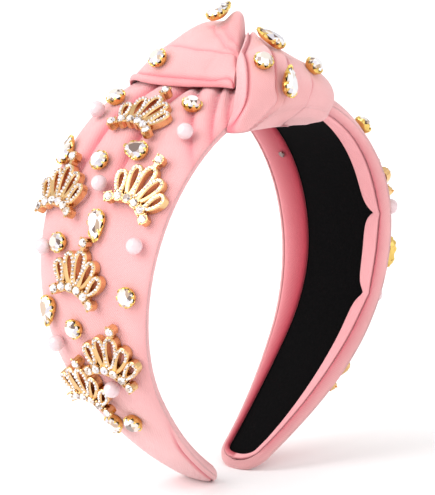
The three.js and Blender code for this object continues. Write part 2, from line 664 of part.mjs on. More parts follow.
// Axis of a crown's loop: its foot, direction, length, and the centre of its round head
function loopAxis(loop) {
  const foot = new THREE.Vector2(loop.footX, loop.footY - CROWN.middle);
  const top = new THREE.Vector2(loop.topX, loop.topY - CROWN.middle);
  const length = top.distanceTo(foot);
  const up = top.clone().sub(foot).divideScalar(length);
  const head = top.clone().addScaledVector(up, -loop.half);
  return { foot, up, length, head };
}

// Scalloped edge over the loops, from the last loop to the first, with the tip over the middle one
function loopEdge() {
  const edge = [];
  CROWN_LOOPS.toReversed().forEach((loop, i, loops) => {
    const { up, head } = loopAxis(loop);
    const radius = loop.half + CROWN_RIM;
    const turned = (turn) => {
      const way = up.clone().rotateAround(new THREE.Vector2(), degToRad(turn));
      return head.clone().addScaledVector(way, radius);
    };
    edge.push(turned(-CROWN_HEAD));
    if (loop.topX === 0) {
      const foot = CROWN_TIP.foot - CROWN.middle;
      const top = CROWN_TIP.top - CROWN.middle;
      edge.push(new THREE.Vector2(CROWN_TIP.half, foot), new THREE.Vector2(CROWN_TIP.half, top));
      edge.push(new THREE.Vector2(-CROWN_TIP.half, top), new THREE.Vector2(-CROWN_TIP.half, foot));
    } else {
      edge.push(turned(0));
    }
    edge.push(turned(CROWN_HEAD));
    if (i < loops.length - 1) {
      const next = loops[i + 1];
      const share = radius / (radius + next.half + CROWN_RIM);
      edge.push(head.clone().lerp(loopAxis(next).head, share));
    }
  });
  return edge;
}

function loopOpening(loop) {
  const { foot, up, length } = loopAxis(loop);
  const side = new THREE.Vector2(up.y, -up.x);
  const place = (way, spread) => {
    const out = spread * (loop.half - CROWN_RIM);
    return foot.clone().addScaledVector(up, way * length).addScaledVector(side, out);
  };
  return [
    place(CROWN_OPENING_FOOT, 0),
    ...CROWN_OPENING.map(({ way, spread }) => place(way, spread)),
    place(1 - CROWN_RIM / length, 0),
    ...CROWN_OPENING.toReversed().map(({ way, spread }) => place(way, -spread)),
  ];
}

// Plate with the outline of the base row, the loops and the tip, open inside each loop
function crown(name) {
  const outline = [];
  for (let i = 0; i <= CROWN_BASE.steps; i++) {
    const lean = lerp(-CROWN_BASE.reach, CROWN_BASE.reach, i / CROWN_BASE.steps);
    outline.push(basePoint(lean, -CROWN_BASE.stone));
  }
  const { reach, notch, stone } = CROWN_BASE;
  outline.push(basePoint(reach, stone), basePoint(notch, stone));
  outline.push(...loopEdge());
  outline.push(basePoint(-notch, stone), basePoint(-reach, stone));
  const shape = new THREE.Shape(outline);
  for (const loop of CROWN_LOOPS) shape.holes.push(new THREE.Path(loopOpening(loop)));
  const geometry = new THREE.ExtrudeGeometry(shape, { depth: CROWN.thick, bevelEnabled: false });
  return named(name, geometry, 'crown');
}

// Small metal stud on the binding, inside the hoop
function stud() {
  const layers = [
    { scale: 1, height: 0 },
    { scale: STUD.shoulderShare, height: STUD.shoulder },
    { scale: STUD.topShare, height: STUD.height },
  ];
  const mesh = named('stud', stoneGeometry(roundOutline(STUD.radius, STUD.sides), layers), 'metal');
  const edge = shownLining(STUD_PLACE.along, 1);
  const across = lerp(edge, taperedHalfWidth(STUD_PLACE.along) - LINING_INSET, STUD_PLACE.share);
  const surface = (a, b) => bandPoint(STUD_PLACE.along + a, across - b, BINDING_FACE);
  return seat(mesh, surface, STUD.radius, 0);
}

const TRIM = {
  crystal: { make: crystal, reach: CRYSTAL_MESH.seat },
  drop: { make: drop, reach: DROP_MESH.seat },
  pearl: { make: pearl, reach: PEARL.seat },
  crown: { make: crown, reach: CROWN.seat },
};

function legTrim(row) {
  const { make, reach } = TRIM[row.kind];
  const side = row.right ? -1 : 1;
  const surface = (a, b) => {
    const along = row.along + a;
    const across = row.across + b;
    return bandPoint(along, across, coverDepth(side * along, side * across));
  };
  const mesh = seat(make(row.name), surface, reach, row.turn);
  if (row.right) mesh.geometry.rotateZ(Math.PI);
  return mesh;
}

function knotTrim(row) {
  const { make, reach } = TRIM[row.kind];
  const width = wrapRow(row.wrap, 'hem', row.down) - wrapRow(row.wrap, 'edge', row.down);
  const surface = (a, b) => wrapSurface(row.wrap, row.down - a, clamp(row.share - b / width, 0, 1));
  return seat(make(row.name), surface, reach, row.turn);
}

const part = new THREE.Group();
part.name = 'knotted_headband';
part.add(bandCover(), lining(), binding(), knotWrap('far'), knotWrap('near'), stud());
for (const row of LEG_TRIM) part.add(legTrim(row));
for (const row of KNOT_TRIM) part.add(knotTrim(row));

export default part;
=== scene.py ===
# Padded knotted headband with set crystals, pearls and small crowns, dressed over its plain solids.
import math

import bpy
import numpy as np
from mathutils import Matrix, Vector


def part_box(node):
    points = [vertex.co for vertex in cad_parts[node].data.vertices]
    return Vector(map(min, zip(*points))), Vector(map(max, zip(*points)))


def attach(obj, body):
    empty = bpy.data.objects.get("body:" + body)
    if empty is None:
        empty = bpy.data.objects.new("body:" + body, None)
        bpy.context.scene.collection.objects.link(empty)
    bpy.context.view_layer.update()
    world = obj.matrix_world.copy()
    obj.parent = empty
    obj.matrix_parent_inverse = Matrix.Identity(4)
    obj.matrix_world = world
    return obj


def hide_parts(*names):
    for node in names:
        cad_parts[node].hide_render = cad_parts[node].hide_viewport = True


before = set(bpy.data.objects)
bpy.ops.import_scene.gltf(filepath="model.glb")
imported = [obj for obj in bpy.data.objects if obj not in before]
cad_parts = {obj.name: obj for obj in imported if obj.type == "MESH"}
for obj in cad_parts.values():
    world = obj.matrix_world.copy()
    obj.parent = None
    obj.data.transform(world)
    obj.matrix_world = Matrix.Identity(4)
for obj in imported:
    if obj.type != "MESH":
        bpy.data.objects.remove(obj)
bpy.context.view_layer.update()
scene = bpy.context.scene

MM = 0.001  # sizes below are in millimetres

# Hoop: an arc that goes over into a flatter curve down each leg
ARCH_RADIUS = 62.0
ARCH_HEIGHT = 80.2
LEG_ANGLE = math.radians(36.4)
LEG_RADIUS = 150.0
ARC_LENGTH = (math.pi / 2 + LEG_ANGLE) * ARCH_RADIUS
HALF_LENGTH = 196.6

# Band section
TIP_HALF_WIDTH = 9.4
TOP_HALF_WIDTH = 30.2
TAPER_LENGTH = 169.0
END_ROUND = 8.5
END_POWER = 2.3
TIP_DEPTH = 6.6
PAD_DEPTH = 7.8
PAD_TAPER = 48.0
PUFF_DEPTH = 2.6
PUFF_START = 75.0
PUFF_FULL = 30.0
EDGE_DEPTH = 4.0
# Fuller near edge of the right leg: how much, where along the band it starts, is whole, ends and is gone,
# and within which share of the half width it grows
FULL_EDGE = {"depth": 2.3, "start": 45.0, "whole": 85.0, "end": 140.0, "gone": 185.0, "within": 0.7}
HEM_DEPTH = 0.9
HEM_INSET = 2.3
HEM_LIP = 0.2
CROWN_POWER = 2.4
SHOULDER_POWER = 0.55
END_RIM = {"from": 2.4, "to": 3.2}  # from an end, where its rim goes over into the floor under the lining
# Crease beside one edge of a leg: where it starts and is full, how far in it lies, its depth and width
EDGE_CREASE = {"start": 140.0, "full": 166.0, "inset": 1.9, "depth": 0.8, "width": 0.5}
RIPPLE = 0.12  # unevenness of the padding
# Its slow waves: length along and across the band, shift and strength
RIPPLE_WAVES = [
    {"along": 7.3, "across": 11.0, "shift": 0.0, "strength": 1.0},
    {"along": 4.1, "across": -6.5, "shift": 1.3, "strength": 0.6},
    {"along": 17.0, "across": 3.9, "shift": 0.4, "strength": 0.5},
]
PUCKER = 0.05  # small gathers along the seam
PUCKER_STEP = 4.6
PUCKER_DRIFT = 9.0  # how slowly the step wanders

# Layers of the inner face, as depths from the inside of the hoop
BINDING_FACE = 0.25
BINDING_BACK = 1.45
LINING_FACE = 1.75
LINING_BACK = 2.45
PAD_FACE = 2.75
LINING_INSET = 2.9
BINDING_END = 2.4
BINDING_LEAST = 1.5
BINDING_SWELL = {"flat": 4, "round": 0.4}  # powers that shape the rounded face of the strip
# Painted shade: the near strip darkens in its seam line over this share of its width, and the far strip
# deepens towards the lining
STRIP_SEAM_SHADE = 0.05  # share of the strip's width that lies in the seam
STRIP_SHADE_POWER = 0.38  # how fast the far strip deepens from its outer edge to the lining
BINDING_OUT = 0.5  # how far the strip reaches past the lining, up to the hem of the cover
LINING_TUCK = 1.2
LINING_SHARE_NEAR = 0.64
LINING_SHARE_FAR = 0.42
STRIP_NARROW = 100.0  # distance from the top at which the far strip starts to narrow
PINCH_FADE = 3.1
PINCHES = [{"along": 84.0, "reach": 5.5}, {"along": 115.5, "reach": 5.0}]
SEAM_PULL = 1.3  # how far a pinch draws the near seam towards the edge
SEAM_FADE = 6.0
# Painted shade: deeper pink on the roll beside the near seam and in its line, how thin that line is,
# and the distances from an end between which both grow
SEAM_SHADE = {"roll": 0.5, "line": 0.5, "thin": 30, "end": 3.0, "full": 14.0}

# Pleats beside the knot, as on the left leg; the right leg has them half a turn round. Each runs from the
# knot to where it fades, by its distance from the top and its place across, with its depth and half width
PLEAT_FADE = 0.45
PLEAT_CREASE = 0.6  # share of a pleat's depth that is a sharp crease
PLEAT_SHARP = 3.0  # how much narrower the crease is than the pleat
PLEATS = [
    {"start": 17, "start_across": 12, "end": 76, "end_across": 18, "depth": 2.6, "width": 3.0},
    {"start": 17, "start_across": -1.4, "end": 74, "end_across": -3, "depth": 3.4, "width": 3.0},
    {"start": 16, "start_across": -6.5, "end": 56, "end_across": -36, "depth": 3.2, "width": 2.5},
    {"start": 13, "start_across": -14.2, "end": 50, "end_across": -39, "depth": 3.2, "width": 1.9},
    {"start": 11, "start_across": -18.2, "end": 40, "end_across": -39, "depth": 2.6, "width": 1.6},
]

# Knot: two wraps, each laid over the top and down past one edge of the band
GAP = 0.3
WRAP_CLEAR = 0.45
WRAP_DEPTH = PAD_DEPTH + PUFF_DEPTH + WRAP_CLEAR
WRAP_SKIN = 0.35
WRAPS = {
    "far": {"side": 32.7, "corner": 14.0, "taper": 1.0},
    "near": {"side": TOP_HALF_WIDTH + WRAP_CLEAR, "corner": 8.0, "taper": 0.7},
}
WRAP_ROWS = {
    "far": {
        "down": [-23, -18, -12, -4, 4, 12, 18, 23, 28, 32, 36, 41, 44],
        "edge": [14.2, 7, 0.5, -7.6, -7.5, -8, -9.5, -13, -15, -16, -16, -12, -2],
        "hem": [15.4, 15.6, 16.8, 18.6, 19.6, 20, 19.6, 18.4, 16.4, 14.2, 12.2, 9, 4],
        "height": [2.5, 6.2, 10.6, 15.2, 17.1, 16.2, 12.6, 8.6, 5.6, 5.2, 5.6, 5.6, 2.6],
    },
    "near": {
        "down": [-23, -18, -12, -4, 4, 12, 18, 23, 28, 31, 33.5, 36, 41, 44],
        "edge": [13, 9.5, 8, 7.5, 7.6, -0.5, -7, -13.8, -20.5, -24, -28.5, -29.5, -18, -2],
        "hem": [16.5, 18, 20, 21.8, 23.2, 24.2, 24.8, 25.6, 26.6, 26.8, 26.6, 26, 23.5, 14],
        "height": [2, 4.6, 8.2, 11.8, 12.9, 12.5, 11, 9.2, 7.4, 6.4, 5.6, 5, 3.6, 2.6],
    },
}
WRAP_TAPER_POWER = 1.7
WRAP_EDGE_POWER = 14
# Folds down each wrap: which side stands up, by how much, and the line of each
FOLD_ROUND = 1.6
FOLD_FADE = 9.0
FOLD_END = 5.0
CREASE_DEPTH = 0.9
CREASE_WIDTH = 0.8
FULL_FOLD = 1.8  # folds lower than this have a weaker crease
HEM_CREASE = 0.35  # how deep the shade is at the edges of a wrap
HEM_CREASE_POWER = 24  # how close to the edges it stays
FOLDS = {
    "far": [
        {"raised": 1, "height": 1.5, "down": [-22, -17, -10, 30], "share": [0.6, 0.87, 0.93, 0.93]},
        {"raised": 1, "height": 0.9, "down": [-16, -11, -3, 5, 15], "share": [0.15, 0.45, 0.61, 0.62, 0.6]},
        {"raised": -1, "height": 0.6, "down": [-15, -12, -9, -2, 2], "share": [0.12, 0.27, 0.37, 0.38, 0.29]},
        {"raised": -1, "height": 0.6, "down": [-13, -9, -6, -3], "share": [0.06, 0.23, 0.3, 0.3]},
        {"raised": -1, "height": 1.6, "down": [24, 30, 36, 41], "share": [0.34, 0.33, 0.36, 0.45]},
        {"raised": -1, "height": 1.4, "down": [26, 32, 37, 42], "share": [0.62, 0.6, 0.58, 0.55]},
    ],
    "near": [
        {"raised": -1, "height": 1.6, "down": [8, 13, 18, 23, 28, 34],
         "share": [0.06, 0.1, 0.115, 0.105, 0.07, 0]},
        {"raised": -1, "height": 2.2, "down": [12, 18, 23, 31, 34, 37],
         "share": [0.2, 0.28, 0.35, 0.29, 0.31, 0]},
        {"raised": -1, "height": 2.0, "down": [14, 24, 28, 34, 36, 38],
         "share": [0.5, 0.49, 0.46, 0.42, 0.35, 0]},
        {"raised": -1, "height": 1.8, "down": [33, 37, 39, 41, 43],
         "share": [0.69, 0.66, 0.57, 0.43, 0.1]},
    ],
}
NUB = {"along": -5.2, "down": -5, "height": 5.8, "length": 5, "width": 5.5, "power": 1.5}

# Set stones
GOLDEN_SHARE = 0.618034  # steps of this share never fall together
STONE_SIDES = 16
CRYSTAL = {"radius": 3.4, "girdle": 2.6, "height": 4.3, "table": 0.56}
DROP = {"radius": 3.5, "point": 7.5, "sharpness": 3, "girdle": 2.4, "height": 3.8, "table": 0.56}
STONE_MIDDLE = {"scale": 0.82, "rise": 0.55}  # ring of facets between the girdle and the table
STONE_FOOT = {"scale": 0.5, "rise": 0.2}  # underside, by its share of the outline and of the girdle's height
CUP_SIDES = 64
CUP = {"foot": 0.84, "rim": 1.1, "inside": 0.97, "notch": 0.34, "flute": 0.015}
CUP_WALL = [(0.45, 0.28), (0.9, 0.55)]  # shares of the way from foot to rim, and of the height
CUP_INSIDE = {"lip": 0.05, "scale": 0.9, "height": 0.4}
PRONG = {"width": 0.75, "over": 0.86, "rise": 0.55, "thick": 0.45, "from": 0.5}
PRONG_BEND = {"way": 0.55, "rise": 0.75, "scale": 0.85}
PRONG_TIP = 0.55  # width of a claw's tip as a share of its foot
ROUND_PRONGS = 8
DROP_PRONGS = 9
PEARL_RADIUS = 3.0
PEARL_TURNS = 32
PEARL_LEVELS = 18
STUD_RADIUS = 1.3
STUD_SIDES = 32
# Rim, groove and dome of the stud: share of its radius and height
STUD_PROFILE = [(1.0, 0.0), (1.0, 0.35), (0.9, 0.6), (0.68, 0.62)]
STUD_PROFILE += [(0.6, 0.4), (0.42, 0.42), (0.3, 0.7), (0.1, 0.85)]

# Crown: loops over a curved base row of set stones, with a stone at the tip
CROWN_THICK = 2.8
CROWN_MIDDLE = 6.7  # middle of its height, above the middle of the base row
CROWN_BASE = {"radius": 14.3, "reach": 39.0, "stones": 6}
CROWN_TIP = 17.1
CROWN_STEM = {"half": 0.75, "from": 13.6, "to": 16.2}
CROWN_RIM = 0.9  # half the width of a loop's band
LOOP_POWER = 0.8  # below 1 makes a loop squarer
LOOP_SPREAD = {"foot": 0.6, "top": 1.2}  # share of its half width at the foot and at the top
LOOP_STEPS = 48
# Section of a loop's band: shares of its half width and of the crown's thickness
LOOP_SECTION = [(-1, 0), (-1, 0.84), (-0.62, 1), (0.62, 1), (1, 0.84), (1, 0)]
CROWN_LOOPS = [
    {"foot": (-6.8, 0), "top": (-10.5, 7), "half": 1.9, "stones_from": 0},
    {"foot": (-2.6, 1), "top": (-6, 11.2), "half": 2.1, "stones_from": 0.55},
    {"foot": (0, 1.5), "top": (0, 13.6), "half": 2.5, "stones_from": 0},
    {"foot": (2.6, 1), "top": (6, 11.2), "half": 2.1, "stones_from": 0.55},
    {"foot": (6.8, 0), "top": (10.5, 7), "half": 1.9, "stones_from": 0},
]
PAVE = {"radius": 0.62, "height": 0.45, "table": 0.55, "sides": 8, "step": 1.4}
SMALL_FOOT = {"scale": 0.9, "sink": 0.3}  # how a small stone goes on below its surface
BASE_STONE = {"radius": 1.6, "girdle": 0.4, "height": 1.35, "table": 0.56, "foot": 0.8, "sink": 0.25}
BASE_CUP = {"half": 1.85, "height": 3.0, "corner": 1.08, "sides": 8, "foot": 0.95, "foot_height": 0.4}
CUP_BEAD = {"radius": 0.42, "height": 0.504, "table": 0.5, "sides": 6, "out": 1.1}

# Mesh fineness: steps along a piece in millimetres, and counts of points
COVER_MESH = {"step": 1.3, "outer": 121, "roll": 11, "inner": 9}
LINING_MESH = {"step": 2.0, "across": 25}
BINDING_MESH = {"along": 301, "end": 26, "face": 15, "back": 5}
WRAP_MESH = {"down": 200, "top": 240, "under": 30}
END_STEPS = 12
LAST_TURN = 0.04  # angle short of the very end at which a row of sections stops
SMALLEST = 1e-6  # keeps a division from zero

# Looks: tones from dark to light, and the deeper tone painted as shade into folds, seams and recesses of
# cloth
PINK = {
    "dark": (0.7, 0.33, 0.335, 1), "light": (0.8, 0.39, 0.395, 1),
    "deep": (0.68, 0.13, 0.17, 1), "sheen": 0.8,
}
# Binding: the same pink cloth painted lighter, as painted light on the shaded inner face; its deep tone is
# painted shade
STRIP_PINK_LIT_AND_SHADED = {
    "dark": (0.93, 0.41, 0.43, 1), "light": (0.98, 0.47, 0.49, 1),
    "deep": (0.42, 0.035, 0.06, 1), "sheen": 0.1,
}
KNIT_STEP = 0.78  # from one row of the knit to the next
KNIT_TONE = {"weave": 0.22, "dark_to": 0.3, "light_from": 0.7}
PINK_SHEEN = (1.0, 0.92, 0.92, 1.0)
BLACK = {"dark": (0.0015, 0.0014, 0.0015, 1), "light": (0.005, 0.0048, 0.005, 1)}
BLACK_SHEEN = (0.3, 0.3, 0.32, 1.0)
CUP_GOLD = {"dark": (0.6, 0.38, 0.09, 1), "light": (0.92, 0.68, 0.22, 1)}
CROWN_GOLD = {"dark": (0.58, 0.33, 0.13, 1), "light": (0.9, 0.62, 0.31, 1)}
PEARL_PINK = {"dark": (0.66, 0.47, 0.5, 1), "light": (0.76, 0.6, 0.62, 1)}
PEARL_GLOW = (0.002, 0.0015, 0.0015)  # metres
RIVET = {"dark": (0.05, 0.02, 0.02, 1), "light": (0.5, 0.36, 0.34, 1)}
FACET_SNAP = (0.05, 0.05, 0.05)  # facets that face nearly the same way share a tone
# Painted reflections: each facet of a stone gets a tone from dark to light
FACET_REFLECTION = {"dark": (0.16, 0.1, 0.08, 1), "light": (0.95, 0.94, 0.93, 1)}
# Painted reflection tones of facets between these two, and the share of chance at which each starts
FACET_REFLECTION_STEPS = [
    (0.12, (0.5, 0.36, 0.26, 1)),
    (0.26, (0.58, 0.55, 0.6, 1)),
    (0.44, (0.74, 0.67, 0.6, 1)),
    (0.66, (0.86, 0.85, 0.86, 1)),
]
FLOOR_HALF = 6.0  # metres
FLOOR_TONE = (0.95, 0.95, 0.95, 1)
WORLD_STRENGTH = 0.92
LIGHTS = [
    {"name": "key", "towards": (-0.75, 0.35, 0.6), "strength": 2.6, "angle": 60},
    {"name": "fill", "towards": (-0.15, -0.85, 0.5), "strength": 0.5, "angle": 60},
]

# View
CAMERA = {"azimuth": 47.68, "elevation": 13.22, "distance": 1073.4, "focal": 2899.0}
CAMERA_TARGET = (0.0, 0.0, ARCH_HEIGHT - 5.7)
CAMERA_OFFSET = {"right": -0.64, "up": 11.92}
IMAGE_HEIGHT = 495
SENSOR = 36.0


def lerp(start, end, share):
    return start + (end - start) * share


def smoothstep(value, low, high):
    t = np.clip((value - low) / (high - low), 0, 1)
    return t * t * (3 - 2 * t)


def smooth_through(places, values, place):
    """Smooth curve through short rows of places and values."""
    places = np.asarray(places, float)
    values = np.asarray(values, float)
    slopes = np.empty_like(values)
    slopes[1:-1] = (values[2:] - values[:-2]) / (places[2:] - places[:-2])
    slopes[0] = (values[1] - values[0]) / (places[1] - places[0])
    slopes[-1] = (values[-1] - values[-2]) / (places[-1] - places[-2])
    at = np.clip(np.searchsorted(places, place, side="right") - 1, 0, len(places) - 2)
    span = places[at + 1] - places[at]
    t = np.clip((place - places[at]) / span, 0, 1)
    u = 1 - t
    start_pull = values[at] + slopes[at] * span / 3
    end_pull = values[at + 1] - slopes[at + 1] * span / 3
    first = u**3 * values[at] + 3 * u * u * t * start_pull
    last = 3 * u * t * t * end_pull + t**3 * values[at + 1]
    return first + last


# Band shape

def band_point(along, across, depth):
    along, across, depth = np.broadcast_arrays(along, across, depth)
    side = np.sign(along)
    on_arc = np.minimum(np.abs(along), ARC_LENGTH)
    on_leg = np.abs(along) - on_arc
    arc_angle = math.pi / 2 - on_arc / ARCH_RADIUS
    angle = arc_angle - on_leg / LEG_RADIUS
    x = (ARCH_RADIUS - LEG_RADIUS) * np.cos(arc_angle) + (LEG_RADIUS + depth) * np.cos(angle)
    z = (ARCH_RADIUS - LEG_RADIUS) * np.sin(arc_angle) + (LEG_RADIUS + depth) * np.sin(angle)
    return np.stack([side * x, across, ARCH_HEIGHT + z], axis=-1)


def end_share(from_end):
    rest = np.clip(1 - from_end / END_ROUND, 0, 1)
    return (1 - rest**END_POWER) ** (1 / END_POWER)


def tapered_half_width(along):
    rise = np.sin(math.pi / 2 * np.clip((HALF_LENGTH - np.abs(along)) / TAPER_LENGTH, 0, 1))
    return lerp(TIP_HALF_WIDTH, TOP_HALF_WIDTH, rise)


def half_width(along):
    return tapered_half_width(along) * end_share(HALF_LENGTH - np.abs(along))


def inner_half_width(along, inset):
    """Half width of the inner face at an inset from the band's outline, rounded at the ends."""
    from_end = HALF_LENGTH - inset - np.abs(along)
    rounding = END_ROUND / (END_ROUND - inset)
    return (tapered_half_width(along) - inset) * end_share(from_end * rounding)


def pad_depth(along):
    puff = PUFF_DEPTH * (1 - smoothstep(np.abs(along), PUFF_FULL, PUFF_START))
    return lerp(TIP_DEPTH, PAD_DEPTH, np.clip((HALF_LENGTH - np.abs(along)) / PAD_TAPER, 0, 1)) + puff


def pleat_valleys(along, across):
    """Depth of the pleats, and how deep in a pleat each place lies, from 0 to 1, which also sets the painted
    shade in the valleys.
    """
    place = np.where(along > 0, -across, across)
    depth = 0
    crease = 0
    for pleat in PLEATS:
        way = (np.abs(along) - pleat["start"]) / (pleat["end"] - pleat["start"])
        fade = 1 - smoothstep(way, PLEAT_FADE, 1)
        offset = (place - lerp(pleat["start_across"], pleat["end_across"], way)) / pleat["width"]
        soft = np.exp(-(offset**2))
        sharp = np.exp(-PLEAT_SHARP * np.abs(offset))
        valley = lerp(soft, sharp, PLEAT_CREASE)
        depth = depth + pleat["depth"] * fade * valley
        crease = np.maximum(crease, fade * valley)
    return depth, crease


def ripple(along, across):
    """Slow unevenness of stuffed cloth."""
    height = 0
    for wave in RIPPLE_WAVES:
        phase = along / wave["along"] + across / wave["across"] + wave["shift"]
        height = height + wave["strength"] * np.sin(phase)
    return RIPPLE * height


def edge_depth(along, across):
    """Depth of the widest point of the section."""
    grow = smoothstep(along, FULL_EDGE["start"], FULL_EDGE["whole"])
    fade = 1 - smoothstep(along, FULL_EDGE["end"], FULL_EDGE["gone"])
    near = smoothstep(-across, 0, np.maximum(FULL_EDGE["within"] * half_width(along), SMALLEST))
    return EDGE_DEPTH + FULL_EDGE["depth"] * grow * fade * near


def cover_depth(along, across):
    share = np.clip(np.abs(across) / np.maximum(half_width(along), SMALLEST), 0, 1)
    crown = (1 - share**CROWN_POWER) ** SHOULDER_POWER
    end = end_share(HALF_LENGTH - np.abs(along))
    edge = edge_depth(along, across)
    rise = (pad_depth(along) - edge) * end * crown
    relief = ripple(along, across) - pleat_valleys(along, across)[0]
    return edge + rise + relief * crown * end


def stations(step, inset=0.0):
    """Distances along the hoop, closer together round each end."""
    straight = HALF_LENGTH - END_ROUND
    middle = np.linspace(-straight, straight, round(2 * straight / step) + 1)
    turn = np.linspace(math.pi / 2, LAST_TURN, END_STEPS + 1)[1:]
    ends = straight + (END_ROUND - inset) * np.cos(turn) ** (2 / END_POWER)
    return np.concatenate([-ends[::-1], middle, ends])


# Mesh helpers

def add_object(name, data):
    item = bpy.data.objects.new(name, data)
    scene.collection.objects.link(item)
    return item


def add_mesh(name, points, faces, material, layers=None, smooth=True):
    """Mesh with layers of two values for each point, kept as texture places."""
    mesh = bpy.data.meshes.new(name)
    mesh.from_pydata((points * MM).tolist(), [], faces)
    corners = np.empty(len(mesh.loops), dtype=np.int32)
    mesh.loops.foreach_get("vertex_index", corners)
    for layer, values in (layers or {}).items():
        places = mesh.uv_layers.new(name=layer)
        places.data.foreach_set("uv", np.asarray(values, np.float32)[corners].ravel())
    mesh.polygons.foreach_set("use_smooth", np.full(len(mesh.polygons), smooth))
    mesh.materials.append(material)
    return add_object(name, mesh)


def loft_faces(rows, columns, looped=False):
    faces = []
    for row in range(rows if looped else rows - 1):
        here = row * columns
        ahead = (row + 1) % rows * columns
        for column in range(columns):
            side = (column + 1) % columns
            faces.append((here + column, ahead + column, ahead + side, here + side))
    if not looped:
        faces.append(tuple(range(columns)))
        faces.append(tuple(range(rows * columns - 1, (rows - 1) * columns - 1, -1)))
    return faces


def turned_faces(rows, columns, looped=False):
    """Faces of a loft whose rings run the other way round."""
    return [face[::-1] for face in loft_faces(rows, columns, looped)]


def cloth_places(rings, along):
    """Place of each point in the cloth: along the piece and round its section, in millimetres."""
    steps = np.linalg.norm(np.diff(rings, axis=1), axis=2)
    around = np.concatenate([np.zeros((len(rings), 1)), np.cumsum(steps, axis=1)], axis=1)
    around -= around[:, -1:] / 2
    along = np.broadcast_to(np.reshape(along, (-1, 1)), around.shape)
    return np.stack([along, around], axis=-1).reshape(-1, 2)


def add_loft(name, rings, along, material, looped=False, crease=0.0):
    rows, columns = rings.shape[:2]
    faces = loft_faces(rows, columns, looped)
    crease = np.broadcast_to(crease, (rows, columns)).ravel()
    # The crease layer holds how far painted shade turns the pink deeper at each point
    layers = {"cloth": cloth_places(rings, along), "crease": np.stack([crease, crease], axis=-1)}
    return add_mesh(name, rings.reshape(-1, 3), faces, material, layers)


def place_piece(piece, node=None):
    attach(piece, "root")
    if node:
        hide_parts(node)
    return piece


# Cloth pieces

def edge_crease(along, across):
    """How deep in the crease beside the leg's edge each place lies, from 0 to 1."""
    place = np.where(along > 0, -across, across)
    grow = smoothstep(np.abs(along), EDGE_CREASE["start"], EDGE_CREASE["full"])
    line = EDGE_CREASE["inset"] * grow - half_width(along)
    return grow * np.exp(-(((place - line) / EDGE_CREASE["width"]) ** 2))


def seam_pull(along):
    """How far the near seam is drawn towards the edge by the pinches."""
    return sum(SEAM_PULL * np.exp(-np.abs(along - pinch["along"]) / SEAM_FADE) for pinch in PINCHES)


def rolled_edge(along, roll, width, seam, top):
    """Places across and depths of the cover, rolled in from its widest point to the seam."""
    end = end_share(HALF_LENGTH - np.abs(along))
    gathers = np.sin(2 * math.pi * along / PUCKER_STEP + np.sin(along / PUCKER_DRIFT))
    across = width - (width - seam) * (1 - np.cos(roll))
    depth = top - (top - lerp(EDGE_DEPTH, HEM_DEPTH, end) - PUCKER * end * gathers) * np.sin(roll)
    return across, depth


def seam_shade(from_end, roll):
    """How much painted shade deepens the pink along the roll beside the near seam."""
    rolled = np.sin(roll)
    shade = SEAM_SHADE["roll"] * rolled**2 + SEAM_SHADE["line"] * rolled ** SEAM_SHADE["thin"]
    return shade * smoothstep(from_end, SEAM_SHADE["end"], SEAM_SHADE["full"])


def band_cover(material):
    along = stations(COVER_MESH["step"])[:, None]
    from_end = HALF_LENGTH - np.abs(along)
    end = end_share(from_end)
    width = half_width(along)
    outer = -width * np.cos(np.linspace(0, math.pi, COVER_MESH["outer"]))
    line = edge_crease(along, outer)
    outer_depth = cover_depth(along, outer) - EDGE_CREASE["depth"] * line
    seam = np.maximum(inner_half_width(along, HEM_INSET), 2 * HEM_LIP)
    near_seam = seam + seam_pull(along)
    roll = np.linspace(0, math.pi / 2, COVER_MESH["roll"])[1:]
    far_edge, far_depth = rolled_edge(along, roll, width, seam, EDGE_DEPTH)
    near_edge, near_depth = rolled_edge(along, roll, width, near_seam, edge_depth(along, -width))
    inner = lerp(seam - HEM_LIP, HEM_LIP - near_seam, np.linspace(0, 1, COVER_MESH["inner"]))
    inside = np.broadcast_to(smoothstep(from_end, END_RIM["from"], END_RIM["to"]), inner.shape)
    inner_depth = lerp(lerp(EDGE_DEPTH, HEM_DEPTH, end), lerp(EDGE_DEPTH, PAD_FACE, end), inside)
    across = np.concatenate([outer, far_edge, inner, -near_edge[:, ::-1]], axis=1)
    depth = np.concatenate([outer_depth, far_depth, inner_depth, near_depth[:, ::-1]], axis=1)
    rings = band_point(along, across, depth)
    rings[..., 2] = np.maximum(rings[..., 2], 0)
    # Painted shade: deeper pink in the pleat valleys, the crease beside the edge, the floor under the lining
    # and the near seam roll
    valley_shade = np.maximum(pleat_valleys(along, outer)[1], line)
    shade = seam_shade(from_end, roll)
    painted_shade = np.concatenate([valley_shade, np.zeros_like(shade), inside, shade[:, ::-1]], axis=1)
    piece = add_loft("cover_cloth", rings, along, material, crease=painted_shade)
    return place_piece(piece, "band_cover")


def lining_half_width(along):
    return np.maximum(inner_half_width(along, LINING_INSET) - LINING_TUCK, 0)


def lining(material):
    along = stations(LINING_MESH["step"], LINING_INSET)[:, None]
    across = lining_half_width(along) * np.linspace(-1, 1, LINING_MESH["across"])
    back = band_point(along, across, LINING_BACK)
    face = band_point(along, across[:, ::-1], LINING_FACE)
    rings = np.concatenate([back, face], axis=1)
    piece = add_loft("lining_velvet", rings, along, material)
    return place_piece(piece, "lining")


def shown_lining(along, side):
    width = tapered_half_width(along)
    limit = width - LINING_INSET - BINDING_LEAST
    narrowing = smoothstep(np.abs(along), STRIP_NARROW, HALF_LENGTH)
    far = lerp(width * LINING_SHARE_FAR, limit, narrowing)
    near = width * LINING_SHARE_NEAR
    for pinch in PINCHES:
        near = near + pinch["reach"] * np.exp(-np.abs(along - pinch["along"]) / PINCH_FADE)
    return np.where(side > 0, far, np.minimum(near, limit))


